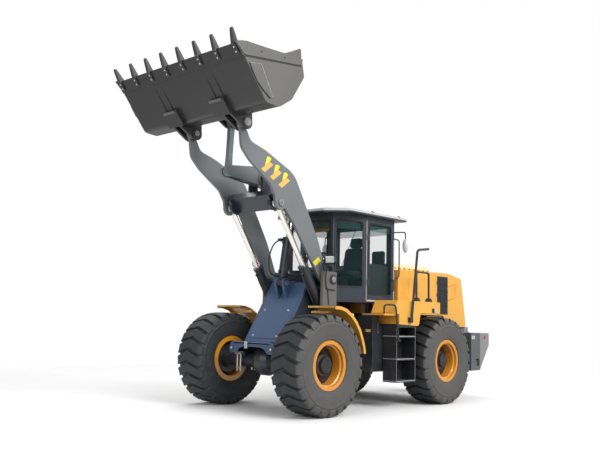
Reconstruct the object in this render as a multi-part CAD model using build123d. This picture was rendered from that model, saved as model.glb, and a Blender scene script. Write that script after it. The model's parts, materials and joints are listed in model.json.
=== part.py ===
"""Articulated wheel loader with a Z-bar boom.

Millimetres; +X forward, +Y to the driver's left, +Z up from the ground.  Sizes along X are
written from the front axle; the finished parts are shifted so that the origin lies on the
ground under the middle of the machine.
"""
import math
import os

from build123d import *

os.makedirs("parts", exist_ok=True)

# ---- wheels and axles ----------------------------------------------------------------
WHEELBASE = 3300
TRACK = 2250
TYRE_RADIUS = 785
TYRE_WIDTH = 590
RIM_SEAT_RADIUS = 340
RIM_FLANGE_RADIUS = 385
RIM_WIDTH = 500
RIM_WALL = 18
RIM_DISC_INSET = 210          # outer flange edge to the outer face of the wheel disc
HUB_RADIUS = 190
HUB_COVER_RADIUS = 130
HUB_COVER_INSET = 70          # outer flange edge to the tip of the hub cover
AXLE_TUBE_RADIUS = 120
BRAKE_RADIUS = 240
SPINDLE_RADIUS = 90

# ---- articulation --------------------------------------------------------------------
REAR_AXLE_X = -WHEELBASE
PIVOT_X = -WHEELBASE / 2
PIVOT_PIN_RADIUS = 45
LUG_RADIUS = 110
LUG_THICKNESS = 45
LUG_GAP = 7                   # free height on each side of the rear frame's lug
PIVOT_LEVELS = (675, 1255)    # mid heights of the two hinge lugs
STEER_PIN_Y = 285
STEER_BASE_X = REAR_AXLE_X + 1130
STEER_EYE_X = PIVOT_X + 480
STEER_Z = 980
STEER_PIN_RADIUS = 28
STEER_EYE_HALF_WIDTH = 25
STEER_BRACKET_LEVELS = ((STEER_Z - 65, STEER_Z - 35), (STEER_Z + 35, STEER_Z + 65))
STEER_BRACKET_REACH = 50      # past the pin's middle

# ---- linkage pins in the X-Z plane, boom raised and bucket rolled back --------------------
BOOM_PIVOT = (-800, 2160)
BUCKET_HINGE = (1270, 4460)
CRANK_PIVOT = (295, 3794)
CRANK_FRONT = (1001, 3816)
CRANK_REAR = (-511, 3350)
LINK_PIN = (963, 4625)
TILT_BASE = (-310, 2090)
LIFT_BASE = (-790, 1550)
LIFT_EYE = (410, 3330)

# ---- boom layers, measured outward from the middle plane ---------------------------------
ARM_Y = (580, 630)
ARM_BOSS_Y = (558, 652)
PIVOT_BOSS_Y = (458, 652)
PIVOT_BOSS_RADIUS = 115
TIP_BOSS_RADIUS = 100
LIFT_LOBE_RADIUS = 120
INNER_LUG_Y = (430, 485)
LIFT_Y = 533
PIN_RADIUS = 45
PIN_CLEARANCE = 0.05          # running fit, on the radius
CRANK_LUG_Y = (128, 172)
CRANK_HUB_Y = 120
CRANK_CHEEK_Y = (48, 90)
EYE_HALF_WIDTH = 35           # link and tilt rod eyes run between the crank's cheeks
EYE_RADIUS = 80
LINK_WIDTH = (110, 90)        # at the eyes and at the waist

# ---- front frame -----------------------------------------------------------------------
FRAME_PLATE_Y = (385, 430)
TOWER_PLATE_Y = (660, 715)
TOWER_REAR_X = -905
TOWER_TOP_Z = 2290
DECK_LENGTH_X = (PIVOT_X + 350, -900)
FRONT_PLATE = 30
TILT_LUG_Y = (62, 112)

# ---- cylinders -------------------------------------------------------------------------
LIFT_BARREL_RADIUS = 80
LIFT_ROD_RADIUS = 45
LIFT_BARREL_LENGTH = 980
LIFT_EYE_HALF_WIDTH = 37
TILT_BARREL_RADIUS = 86
TILT_ROD_RADIUS = 45
TILT_BARREL_LENGTH = 785
STEER_BARREL_RADIUS = 50
STEER_ROD_RADIUS = 28
STEER_BARREL_LENGTH = 610
BARREL_WALL = 14
GLAND_LENGTH = 60
GLAND_LIP = 6

# ---- bucket ----------------------------------------------------------------------------
BUCKET_WIDTH = 2960
BUCKET_PLATE = 28
BUCKET_SIDE = 30
TOOTH_COUNT = 8
TOOTH_WIDTH = 66
TOOTH_SECTIONS = [            # past the lip, rise of the middle, thickness, width
    (0, 6, 84, 66), (45, 14, 68, 60), (135, 28, 34, 48), (216, 37, 10, 34)]
STRAP_LENGTH = 165
STRAP_DEPTH = 24
BUCKET_EAR_Y = ((500, 545), (665, 710))
HINGE_COLLAR_RADIUS = 82
PAD_NOSE = 20

# ---- rear frame ------------------------------------------------------------------------
RAIL_Y = (360, 400)
RAIL_TOP_Z = 1350
RAIL_BOTTOM_Z = 950
BULKHEAD_X = (REAR_AXLE_X + 1010, REAR_AXLE_X + 1050)
NECK_FRONT_X = PIVOT_X - 250
CAB_FEET_X = (-2250, -2450)
COUNTERWEIGHT_X = (-5265, -4550)
COUNTERWEIGHT_HALF_WIDTH = 1150
HITCH_X = -5160
HITCH_RADIUS = 30
HITCH_FLOOR_Z = 980

# ---- body ------------------------------------------------------------------------------
HOOD_HALF_WIDTH = 815
HOOD_WALL = 30
CAB_HALF_WIDTH = 780
CAB_NOSE_HALF_WIDTH = 520
CAB_NOSE_X = -1010
DOOR_X = (-2420, -1635)
CAB_REAR_X = -2500
CAB_FLOOR_Z = 1800
CAB_TOP_Z = 3330
CAB_WALL = 50
GLASS = 8
ROOF_X = (-2700, -760)
ROOF_HALF_WIDTH = 900
ROOF_THICKNESS = 85
ROOF_EDGE = 50
STEP_Z = (1582, 1612)
TANK_Y = (680, 1000)
SIDE_Y = 1300                 # outer face of steps, boxes and ladders
TANK_X = (REAR_AXLE_X + TYRE_RADIUS + 185, PIVOT_X + 110)
LADDER_X = (REAR_AXLE_X + TYRE_RADIUS + 125, PIVOT_X - 180)
LADDER_TREADS = (440, 815, 1205)
LADDER_TREAD = 30
FENDER_FLOOR_Z = 1410
FENDER_TOP_Z = 1850
SEAT_GAP = 0.3                # between seated pieces

ORIGIN_SHARE = 0.5            # origin at the middle of the overall length


# ---- shapes ----------------------------------------------------------------------------
UPWARD = (Align.CENTER, Align.CENTER, Align.MIN)    # a shape that stands on its origin


def block(x, y, z):
    """Box from three (low, high) spans."""
    middle = [(low + high) / 2 for low, high in (x, y, z)]
    size = [high - low for low, high in (x, y, z)]
    return Pos(*middle) * Box(*size)


def rounded(corners):
    """Face inside a closed line through corners (u, v) or (u, v, radius of the rounding)."""
    corners = [(*corner, 0)[:3] for corner in corners]
    places = [Vector(u, v) for u, v, _ in corners]
    edges = []
    ends = []
    for i, (_, _, radius) in enumerate(corners):
        back = (places[i - 1] - places[i]).normalized()
        on = (places[(i + 1) % len(places)] - places[i]).normalized()
        half_angle = math.radians(back.get_angle(on) / 2)
        run = radius / math.tan(half_angle)
        start, end = places[i] + back * run, places[i] + on * run
        if radius:
            middle = places[i] + (back + on).normalized() * radius * (1 / math.sin(half_angle) - 1)
            edges.append(ThreePointArc(start, middle, end))
        ends.append((start, end))
    for i, (start, _) in enumerate(ends):
        before = ends[i - 1][1]
        if (start - before).length > 0.01:
            edges.append(Line(before, start))
    return make_face(edges)


def plate(corners, y):
    """Outline of corners (x, z) or (x, z, radius), extruded over the span y."""
    side = Plane((0, y[1], 0), x_dir=(1, 0, 0), z_dir=(0, -1, 0))
    return extrude(side * rounded(corners), y[1] - y[0])


def deck(corners, z):
    """Outline of corners (x, y) or (x, y, radius) in plan, extruded over the span z."""
    return extrude(Pos(0, 0, z[0]) * rounded(corners), z[1] - z[0])


def wall(corners, x):
    """Outline of corners (y, z) or (y, z, radius), extruded over the span x."""
    section = Plane((x[0], 0, 0), x_dir=(0, 1, 0), z_dir=(1, 0, 0))
    return extrude(section * rounded(corners), x[1] - x[0])


def disc_y(centre, radius, y):
    """Round bar along Y over the span y, centred at (x, z)."""
    return Pos(centre[0], (y[0] + y[1]) / 2, centre[1]) * Rot(90, 0, 0) * Cylinder(radius, y[1] - y[0])


def disc_z(centre, radius, z):
    """Round bar along Z over the span z, centred at (x, y)."""
    return Pos(centre[0], centre[1], (z[0] + z[1]) / 2) * Cylinder(radius, z[1] - z[0])


def bar(start, end, radius):
    """Round bar between two points in space."""
    run = Vector(*end) - Vector(*start)
    return Plane(start, z_dir=run) * Cylinder(radius, run.length, align=UPWARD)


def mirrored(shape):
    return mirror(shape, about=Plane.XZ)


def pair(shape):
    """The shape on the left and its mirror image on the right."""
    return Part() + [shape, mirrored(shape)]


def pipe(points, radius, bend):
    """Tube with eight flats along a path of straight runs and bends."""
    path = FilletPolyline(*points, radius=bend)
    start = path @ 0
    return sweep(Plane(start, z_dir=path % 0) * RegularPolygon(radius, 8), path=path)


# ---- wheels ----------------------------------------------------------------------------
AXLE_Z = TYRE_RADIUS
WHEEL_Y = TRACK / 2
LUG_COUNT = 24                # lugs on each side of the tread
LUG_DEPTH = 42
TREAD_INSET = 14              # widest part of the sidewall to the tread's edge
LUG_OUTLINE = [               # across the tread from its middle, around it
    (TYRE_WIDTH / 2 - TREAD_INSET, -38), (TYRE_WIDTH / 2 - TREAD_INSET, 72), (5, 8), (5, -80)]


def wheel_profile(points):
    """Revolve an outline of (outward offset, radius) about the wheel's axis, at the left front."""
    outline = make_face(Polyline(*[(y, r) for y, r in points], close=True))
    turned = revolve(outline, Axis.X, 360)
    return Pos(0, WHEEL_Y, AXLE_Z) * Rot(0, 0, 90) * turned


def tyre():
    """Carcass with a band of flats, one block lug on each flat, the two sides half a pitch apart."""
    half = TYRE_WIDTH / 2
    bead = RIM_WIDTH / 2 - RIM_WALL
    shoulder = half - TREAD_INSET
    pitch = 360 / LUG_COUNT
    floor = TYRE_RADIUS - LUG_DEPTH
    crown = floor * math.cos(math.pi / LUG_COUNT) - 20
    widest = TYRE_RADIUS - 220
    carcass = wheel_profile([
        (-bead, RIM_SEAT_RADIUS + 5), (-bead, RIM_FLANGE_RADIUS + 2), (-half, widest), (-shoulder, crown),
        (shoulder, crown), (half, widest), (bead, RIM_FLANGE_RADIUS + 2), (bead, RIM_SEAT_RADIUS + 5)])
    corner = max(abs(around) for _, around in LUG_OUTLINE)
    top = math.sqrt(TYRE_RADIUS ** 2 - corner ** 2)
    bevel = [(0, crown), (0, top), (shoulder - 35, top), (shoulder, top - 45), (shoulder, crown)]
    tread = Part()
    for side in (1, -1):
        band = Plane.YZ * (RegularPolygon(floor, LUG_COUNT, major_radius=True) - Circle(crown - 60))
        turn = pitch / 2 if side > 0 else 0
        tread += Rot(turn, 0, 0) * extrude(band, side * shoulder)
        face = make_face(Polyline(*[(side * across, turned) for across, turned in LUG_OUTLINE], close=True))
        lug = extrude(Pos(0, 0, crown) * face, top - crown)
        side_view = make_face(Polyline(*[(side * across, high) for across, high in bevel], close=True))
        lug &= extrude(Plane.XZ * side_view, corner + 1, both=True)
        tread += [Rot(i * pitch + pitch / 2 - turn, 0, 0) * lug for i in range(LUG_COUNT)]
    return carcass + Pos(0, WHEEL_Y, AXLE_Z) * Rot(0, 0, 90) * tread


def rim():
    edge = RIM_WIDTH / 2
    disc = edge - RIM_DISC_INSET
    well = RIM_SEAT_RADIUS - 25
    shell = wheel_profile([
        (-edge, RIM_FLANGE_RADIUS), (-edge + RIM_WALL, RIM_FLANGE_RADIUS),
        (-edge + RIM_WALL, RIM_SEAT_RADIUS + 5),
        (edge - RIM_WALL, RIM_SEAT_RADIUS + 5), (edge - RIM_WALL, RIM_FLANGE_RADIUS),
        (edge, RIM_FLANGE_RADIUS), (edge, RIM_SEAT_RADIUS - 15), (edge - 45, RIM_SEAT_RADIUS - 15),
        (edge - 60, well - 12),
        (disc, well - 12), (disc, HUB_RADIUS), (edge - HUB_COVER_INSET - 60, HUB_RADIUS - 25),
        (edge - HUB_COVER_INSET - 50, HUB_COVER_RADIUS), (edge - HUB_COVER_INSET, HUB_COVER_RADIUS - 15),
        (edge - HUB_COVER_INSET, 0), (disc - 15, 0), (disc - 15, SPINDLE_RADIUS + PIN_CLEARANCE),
        (disc - 60, SPINDLE_RADIUS + PIN_CLEARANCE), (disc - 60, HUB_RADIUS),
        (disc - RIM_WALL - 12, HUB_RADIUS + 20),
        (disc - RIM_WALL - 12, well - 12), (-edge, well - 12)])
    return shell


DIFFERENTIAL_PROFILE = [      # along the axle from its middle, radius
    (-220, 0), (-220, AXLE_TUBE_RADIUS), (-160, 190), (-70, 238), (70, 238), (160, 190),
    (220, AXLE_TUBE_RADIUS), (220, 0)]


def axle(x):
    """Housing with differential, tubes and brake drums, spindles running in the hubs."""
    disc = WHEEL_Y + RIM_WIDTH / 2 - RIM_DISC_INSET
    brake_end = disc - 66
    outline = make_face(Polyline(*DIFFERENTIAL_PROFILE, close=True))
    housing = Pos(x, 0, AXLE_Z) * Rot(0, 0, 90) * revolve(outline, Axis.X, 360)
    housing += disc_y((x, AXLE_Z), AXLE_TUBE_RADIUS, (-brake_end, brake_end))
    housing += disc_y((x, AXLE_Z), SPINDLE_RADIUS, (-disc + 20, disc - 20))
    for side in (1, -1):
        span = sorted((side * (brake_end - 150), side * brake_end))
        housing += disc_y((x, AXLE_Z), BRAKE_RADIUS, span)
        span = sorted((side * (brake_end - 260), side * (brake_end - 150)))
        housing += disc_y((x, AXLE_Z), AXLE_TUBE_RADIUS + 40, span)
    return housing


# ---- cylinders -------------------------------------------------------------------------
def barrel(base, eye, length, radius, rod_radius, pin_radius, across, half_width):
    """Cylinder barrel from its base eye: a closed tube with a gland that guides the rod.

    base and eye are points in space, across is the pin's direction, half_width the eye's."""
    axis = Plane(base, x_dir=across, z_dir=Vector(*eye) - Vector(*base))
    eye_radius = pin_radius * 1.75
    tube_start = eye_radius + 12
    body = Pos(0, 0, tube_start) * Cylinder(radius, length - tube_start, align=UPWARD)
    body += Pos(0, 0, length - GLAND_LENGTH) * Cylinder(radius + GLAND_LIP, GLAND_LENGTH, align=UPWARD)
    inside = tube_start + 25
    bore_length = length - GLAND_LENGTH - inside
    body -= Pos(0, 0, inside) * Cylinder(radius - BARREL_WALL, bore_length, align=UPWARD)
    body -= Pos(0, 0, inside) * Cylinder(rod_radius + PIN_CLEARANCE, length, align=UPWARD)
    body += Rot(0, 90, 0) * Cylinder(eye_radius, 2 * half_width)
    body += Pos(0, 0, tube_start / 2) * Box(2 * half_width, 1.5 * eye_radius, tube_start)
    body -= Rot(0, 90, 0) * Cylinder(pin_radius + PIN_CLEARANCE, 2 * half_width + 2)
    return axis * body


def rod(base, eye, inner_end, rod_radius, eye_radius, across, half_width):
    """Piston rod from its inner end to the eye, with the pin's middle left in the eye."""
    axis = Plane(base, x_dir=across, z_dir=Vector(*eye) - Vector(*base))
    reach = math.dist(base, eye)
    body = Pos(0, 0, inner_end) * Cylinder(rod_radius, reach - inner_end, align=UPWARD)
    body += Pos(0, 0, reach) * Rot(0, 90, 0) * Cylinder(eye_radius, 2 * half_width)
    return axis * body


ACROSS = (0, 1, 0)


def space(pin, y):
    """The point in space of a pin (x, z) at a distance y from the middle."""
    return (pin[0], y, pin[1])


def lift_cylinder(side):
    base, eye = space(LIFT_BASE, side * LIFT_Y), space(LIFT_EYE, side * LIFT_Y)
    body = barrel(base, eye, LIFT_BARREL_LENGTH, LIFT_BARREL_RADIUS, LIFT_ROD_RADIUS, PIN_RADIUS, ACROSS,
                  LIFT_EYE_HALF_WIDTH)
    inner = LIFT_BARREL_LENGTH - GLAND_LENGTH - 20
    return body, rod(base, eye, inner, LIFT_ROD_RADIUS, EYE_RADIUS, ACROSS, LIFT_EYE_HALF_WIDTH)


def tilt_cylinder():
    base, eye = space(TILT_BASE, 0), space(CRANK_REAR, 0)
    body = barrel(base, eye, TILT_BARREL_LENGTH, TILT_BARREL_RADIUS, TILT_ROD_RADIUS, PIN_RADIUS, ACROSS,
                  TILT_LUG_Y[0] - 8)
    inner = TILT_BARREL_LENGTH - GLAND_LENGTH - 60
    return body, rod(base, eye, inner, TILT_ROD_RADIUS, EYE_RADIUS, ACROSS, EYE_HALF_WIDTH)


def steer_cylinder(side):
    base, eye = (STEER_BASE_X, side * STEER_PIN_Y, STEER_Z), (STEER_EYE_X, side * STEER_PIN_Y, STEER_Z)
    body = barrel(base, eye, STEER_BARREL_LENGTH, STEER_BARREL_RADIUS, STEER_ROD_RADIUS, STEER_PIN_RADIUS,
                  (0, 0, 1), STEER_EYE_HALF_WIDTH)
    inner = STEER_BARREL_LENGTH - GLAND_LENGTH - 170
    return body, rod(base, eye, inner, STEER_ROD_RADIUS, STEER_BRACKET_REACH, (0, 0, 1), STEER_EYE_HALF_WIDTH)


# ---- boom ------------------------------------------------------------------------------
ARM_OUTLINE = [               # x, z, rounding down the back edge, then up the front edge
    (1190, 4350, 0), (1112, 4203, 150), (790, 4118, 1200), (110, 3832, 480), (-499, 2806, 1500),
    (-690, 2370, 0), (-830, 2110, 0), (-712, 2052, 60), (-556, 2166, 120), (90, 3024, 900), (325, 3262, 90),
    (525, 3318, 60), (545, 3440, 90), (660, 3608, 200), (1105, 3898, 300), (1292, 4078, 200), (1345, 4440, 0)]
LIFT_CAP_RADIUS = 62          # round cover over the lift rod's pin, outside the arm
BEAM_ANGLE = 48
BEAM_MIDDLE = (390, 3450)
BEAM_SPAN = (-200, 90)        # along the boom
BEAM_DEPTH = (-80, 80)        # across it, the back positive
BEAM_ARM_SPAN = (40, 90)      # where the beam reaches the arms, clear of the lift eyes
BEAM_BACK_DEPTH = (35, 80)


def beam_points(along, depth):
    """Corners of a rectangle set along the boom's slope."""
    c, s = math.cos(math.radians(BEAM_ANGLE)), math.sin(math.radians(BEAM_ANGLE))
    corners = [(along[0], depth[0]), (along[1], depth[0]), (along[1], depth[1]), (along[0], depth[1])]
    return [(BEAM_MIDDLE[0] + a * c - d * s, BEAM_MIDDLE[1] + a * s + d * c) for a, d in corners]


def boom():
    arm = plate(ARM_OUTLINE, ARM_Y)
    arm += disc_y(BOOM_PIVOT, PIVOT_BOSS_RADIUS, PIVOT_BOSS_Y)
    arm += disc_y(BUCKET_HINGE, TIP_BOSS_RADIUS, ARM_BOSS_Y)
    arm += disc_y(LIFT_EYE, LIFT_LOBE_RADIUS, ARM_Y)
    arm += disc_y(LIFT_EYE, LIFT_CAP_RADIUS, (ARM_Y[1], ARM_Y[1] + 14))
    lug = disc_y(LIFT_EYE, LIFT_LOBE_RADIUS - 10, INNER_LUG_Y)
    lug += plate(beam_points(BEAM_SPAN, (-140, 70)), INNER_LUG_Y)
    half = plate(beam_points(BEAM_SPAN, BEAM_DEPTH), (0, INNER_LUG_Y[1]))
    half += plate(beam_points(BEAM_ARM_SPAN, BEAM_DEPTH), (INNER_LUG_Y[0], ARM_Y[0]))
    half += plate(beam_points(BEAM_SPAN, BEAM_BACK_DEPTH), (INNER_LUG_Y[0], ARM_Y[0]))
    lug_root = beam_points(BEAM_SPAN, BEAM_DEPTH)
    crank_lug = plate([lug_root[3], lug_root[2], (CRANK_PIVOT[0] + 85, CRANK_PIVOT[1]),
                       (CRANK_PIVOT[0] - 85, CRANK_PIVOT[1])], CRANK_LUG_Y)
    crank_lug += disc_y(CRANK_PIVOT, 95, CRANK_LUG_Y)
    half += arm + lug + crank_lug
    half -= disc_y(BOOM_PIVOT, PIN_RADIUS + PIN_CLEARANCE, (PIVOT_BOSS_Y[0] - 1, PIVOT_BOSS_Y[1] + 1))
    half -= disc_y(BUCKET_HINGE, PIN_RADIUS + PIN_CLEARANCE, (ARM_BOSS_Y[0] - 1, ARM_BOSS_Y[1] + 1))
    half -= disc_y(CRANK_PIVOT, PIN_RADIUS + PIN_CLEARANCE, (0, CRANK_LUG_Y[1] + 1))
    return half + mirrored(half)


# ---- crank, link and their pins --------------------------------------------------------
CRANK_OUTLINE = [             # x, z, rounding from the front eye over the upper edge to the rear one
    (1010, 3906, 0), (330, 3985, 300), (-543, 3416, 0), (-475, 3290, 0), (150, 3652, 600),
    (1000, 3736, 0)]
CRANK_WEB_X = (-110, 700)     # the cheeks are joined between these


def crank():
    half = plate(CRANK_OUTLINE, CRANK_CHEEK_Y)
    half += disc_y(CRANK_FRONT, 90, CRANK_CHEEK_Y) + disc_y(CRANK_REAR, 76, CRANK_CHEEK_Y)
    web = plate(CRANK_OUTLINE, (0, CRANK_CHEEK_Y[1]))
    web &= block(CRANK_WEB_X, (0, 100), (3000, 4200))
    half += web + disc_y(CRANK_PIVOT, 125, (0, CRANK_HUB_Y))
    half -= disc_y(CRANK_PIVOT, PIN_RADIUS + PIN_CLEARANCE, (0, CRANK_HUB_Y + 1))
    return half + mirrored(half)


def link():
    half = EYE_HALF_WIDTH
    axis = Plane(space(CRANK_FRONT, 0), x_dir=(0, 1, 0),
                 z_dir=Vector(*space(LINK_PIN, 0)) - Vector(*space(CRANK_FRONT, 0)))
    reach = math.dist(CRANK_FRONT, LINK_PIN)
    wide, waist = LINK_WIDTH
    low, high = reach * 0.3, reach * 0.7
    side = [(0, -wide / 2), (low, -waist / 2, 200), (high, -waist / 2, 200), (reach, -wide / 2),
            (reach, wide / 2), (high, waist / 2, 200), (low, waist / 2, 200), (0, wide / 2)]
    body = axis * (Plane((-half, 0, 0), x_dir=(0, 0, 1), z_dir=(1, 0, 0)) * extrude(rounded(side), 2 * half))
    body += disc_y(CRANK_FRONT, EYE_RADIUS, (-half, half)) + disc_y(LINK_PIN, EYE_RADIUS, (-half, half))
    return body - disc_y(LINK_PIN, PIN_RADIUS + PIN_CLEARANCE, (-half - 1, half + 1))


def pin(centre, y):
    """Plain pin across the machine."""
    return disc_y(centre, PIN_RADIUS, y)


# ---- bucket ----------------------------------------------------------------------------
BUCKET_OUTER = [              # x, z, rounding from the lip round the floor and back to the rear rail
    (2190, 5290, 0), (1605, 4556, 120), (1345, 4540, 160), (1085, 4712, 250), (828, 5118, 60),
    (885, 5385, 0)]
BUCKET_MOUTH = (2040, 5345)
SIDE_RELIEF = 12              # rails and cutters stand out from the side plates by this
RAIL_PROFILE = [(2010, 5333), (2060, 5137), (900, 5283), (880, 5383), (1290, 5372)]
CUTTER_PROFILE = [(2240, 5290), (2060, 5137), (2010, 5333), (2100, 5330)]
SIDE_WEAR_PROFILE = [
    (1960, 5060, 15), (1730, 5090, 30), (1480, 4655, 15), (1525, 4625, 15), (1810, 4815, 250)]
EAR_PROFILE = [(1162, 4440, 0), (1200, 4372, 0), (1330, 4362, 0), (1615, 4530, 120), (2030, 5088, 0),
               (1900, 5030, 0), (1500, 4700, 0), (1180, 4760, 0)]
PAD_Y = (380, 740)
PAD_SPAN = (-960, -710)       # along the floor from the lip
PAD_RISE = -65                # below the floor
EDGE_DEPTH = 200              # bolt-on cutting edge, back from the lip
EDGE_PLATE = 14
SPILL_GUARD = [(862, 5280), (892, 5280), (915, 5550), (885, 5550)]
SPILL_HALF_WIDTH = 1440


def inset(points, distance):
    """Open line of points (x, z), or (x, z, rounding), moved to its left by a distance."""
    moved = []
    for i, point in enumerate(points):
        before = points[max(i - 1, 0)]
        after = points[min(i + 1, len(points) - 1)]
        a = Vector(*(point if i else after)[:2]) - Vector(*(before if i else point)[:2])
        b = Vector(*after[:2]) - Vector(*point[:2]) if i < len(points) - 1 else a
        a, b = a.normalized(), b.normalized()
        bisector = Vector(a.Y + b.Y, -a.X - b.X).normalized()
        share = distance / bisector.dot(Vector(a.Y, -a.X))
        rest = [max(radius - distance, 0) for radius in point[2:]]
        moved.append((point[0] + bisector.X * share, point[1] + bisector.Y * share, *rest))
    return moved


def bucket_room(depth):
    """Outline of the space inside the bucket, from a depth within its plate, left open at the mouth."""
    return inset(BUCKET_OUTER, depth) + [(930, 5700), (2150, 5700)]


LIP = Vector(*BUCKET_OUTER[0][:2])
FLOOR_RUN = (LIP - Vector(*BUCKET_OUTER[1][:2])).normalized()


def at_lip(reach, rise):
    """Point (x, z) by its reach past the lip along the floor and its rise into the bucket."""
    place = LIP + FLOOR_RUN * reach + Vector(-FLOOR_RUN.Y, FLOOR_RUN.X) * rise
    return (place.X, place.Y)


def bucket():
    """Shell of floor and sides with its cutting edge, rails, wear plates, hinge ears and pads."""
    half_width = BUCKET_WIDTH / 2
    side_y = half_width - SIDE_RELIEF
    shell = plate(BUCKET_OUTER + [BUCKET_MOUTH], (-side_y, side_y))
    shell -= plate(bucket_room(BUCKET_PLATE), (-side_y + BUCKET_SIDE, side_y - BUCKET_SIDE))
    shell += plate([at_lip(0, 0), at_lip(-EDGE_DEPTH, 0), at_lip(-EDGE_DEPTH, -EDGE_PLATE),
                    at_lip(-15, -EDGE_PLATE)], (-side_y, side_y))
    shell += plate(SPILL_GUARD, (-SPILL_HALF_WIDTH, SPILL_HALF_WIDTH))
    half = plate(RAIL_PROFILE, (side_y - BUCKET_SIDE, half_width))
    half += plate(CUTTER_PROFILE, (side_y - BUCKET_SIDE, half_width - 4))
    half += plate(SIDE_WEAR_PROFILE, (side_y, side_y + 8))
    for ear_y in BUCKET_EAR_Y:
        ear = plate(EAR_PROFILE, ear_y) + disc_y(BUCKET_HINGE, 110, ear_y)
        half += ear - plate(bucket_room(BUCKET_PLATE / 2), (ear_y[0] - 1, ear_y[1] + 1))
    outer = BUCKET_EAR_Y[1][1]
    half += disc_y(BUCKET_HINGE, HINGE_COLLAR_RADIUS, (outer, outer + 14))
    inner = BUCKET_EAR_Y[0][0]
    half += disc_y(BUCKET_HINGE, HINGE_COLLAR_RADIUS, (inner - 14, inner))
    half -= disc_y(BUCKET_HINGE, PIN_RADIUS + PIN_CLEARANCE, (inner - 15, outer + 15))
    pad = plate([at_lip(PAD_SPAN[0], 40), at_lip(PAD_SPAN[0], PAD_RISE), at_lip(PAD_SPAN[1], PAD_RISE),
                 at_lip(PAD_SPAN[1], 10)], PAD_Y)
    pad += disc_y(at_lip(PAD_SPAN[1], PAD_RISE + PAD_NOSE), PAD_NOSE, PAD_Y)
    half += pad - plate(bucket_room(BUCKET_PLATE / 2), (PAD_Y[0] - 1, PAD_Y[1] + 1))
    link_ear = plate([(1060, 4740), (880, 4640), (900, 4555), (1010, 4540), (1200, 4640)], CRANK_CHEEK_Y)
    link_ear += disc_y(LINK_PIN, 90, CRANK_CHEEK_Y)
    link_ear -= disc_y(LINK_PIN, PIN_RADIUS + PIN_CLEARANCE, (CRANK_CHEEK_Y[0] - 1, CRANK_CHEEK_Y[1] + 1))
    half += link_ear - plate(bucket_room(BUCKET_PLATE / 2), (0, 100))
    return shell + half + mirrored(half)


def teeth():
    """Row of pointed teeth, each straddling the lip with a strap bolted below the cutting edge."""
    along = (FLOOR_RUN.X, 0, FLOOR_RUN.Y)
    low = -EDGE_PLATE
    strap = plate([at_lip(5, low), at_lip(-STRAP_LENGTH, low), at_lip(-STRAP_LENGTH, low - 8),
                   at_lip(-STRAP_LENGTH + 30, low - STRAP_DEPTH), at_lip(5, low - STRAP_DEPTH)],
                  (-TOOTH_WIDTH / 2, TOOTH_WIDTH / 2))
    tongue = plate([at_lip(5, BUCKET_PLATE), at_lip(-70, BUCKET_PLATE), at_lip(-70, BUCKET_PLATE + 8),
                    at_lip(5, BUCKET_PLATE + STRAP_DEPTH)], (-TOOTH_WIDTH / 2, TOOTH_WIDTH / 2))
    sections = []
    for reach, rise, thick, width in TOOTH_SECTIONS:
        x, z = at_lip(reach, rise)
        sections.append(Plane((x, 0, z), x_dir=ACROSS, z_dir=along) * Rectangle(width, thick))
    tooth = strap + tongue + loft(sections, ruled=True)
    pitch = (BUCKET_WIDTH - 190) / (TOOTH_COUNT - 1)
    return Part() + [Pos(0, (i - (TOOTH_COUNT - 1) / 2) * pitch, 0) * tooth for i in range(TOOTH_COUNT)]


# ---- front frame -----------------------------------------------------------------------
FRONT_SLOPE = [(130, 1095), (-490, 2100)]
FRAME_REAR_X = DECK_LENGTH_X[0]
SIDE_PLATE_OUTLINE = [        # x, z, with a notch for the steering cylinder at the rear
    (FRAME_REAR_X, 600), (-460, 600), (-300, 925), (350, 925), (350, 1060), FRONT_SLOPE[0], FRONT_SLOPE[1],
    (-560, TOWER_TOP_Z), (TOWER_REAR_X, TOWER_TOP_Z), (TOWER_REAR_X, 1500), (-1000, 1330),
    (FRAME_REAR_X, 1330), (FRAME_REAR_X, 1075), (FRAME_REAR_X + 65, 1075), (FRAME_REAR_X + 65, 885),
    (FRAME_REAR_X, 885)]
AXLE_PAD_X = 150


def hinge_lug(z, front):
    """One rounded lug about the articulation axis, front or rear frame."""
    reach = DECK_LENGTH_X[0] if front else NECK_FRONT_X
    root = LUG_RADIUS + 60
    lug = disc_z((PIVOT_X, 0), LUG_RADIUS, z)
    lug += deck([(PIVOT_X, LUG_RADIUS), (PIVOT_X, -LUG_RADIUS), (reach, -root), (reach, root)], z)
    return lug


def axle_saddle(x, y, top):
    """Block that seats a frame plate on the axle tube."""
    saddle = block((x - AXLE_PAD_X, x + AXLE_PAD_X), y, (AXLE_Z + 60, top))
    return saddle - disc_y((x, AXLE_Z), AXLE_TUBE_RADIUS + SEAT_GAP, (y[0] - 1, y[1] + 1))


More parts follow.
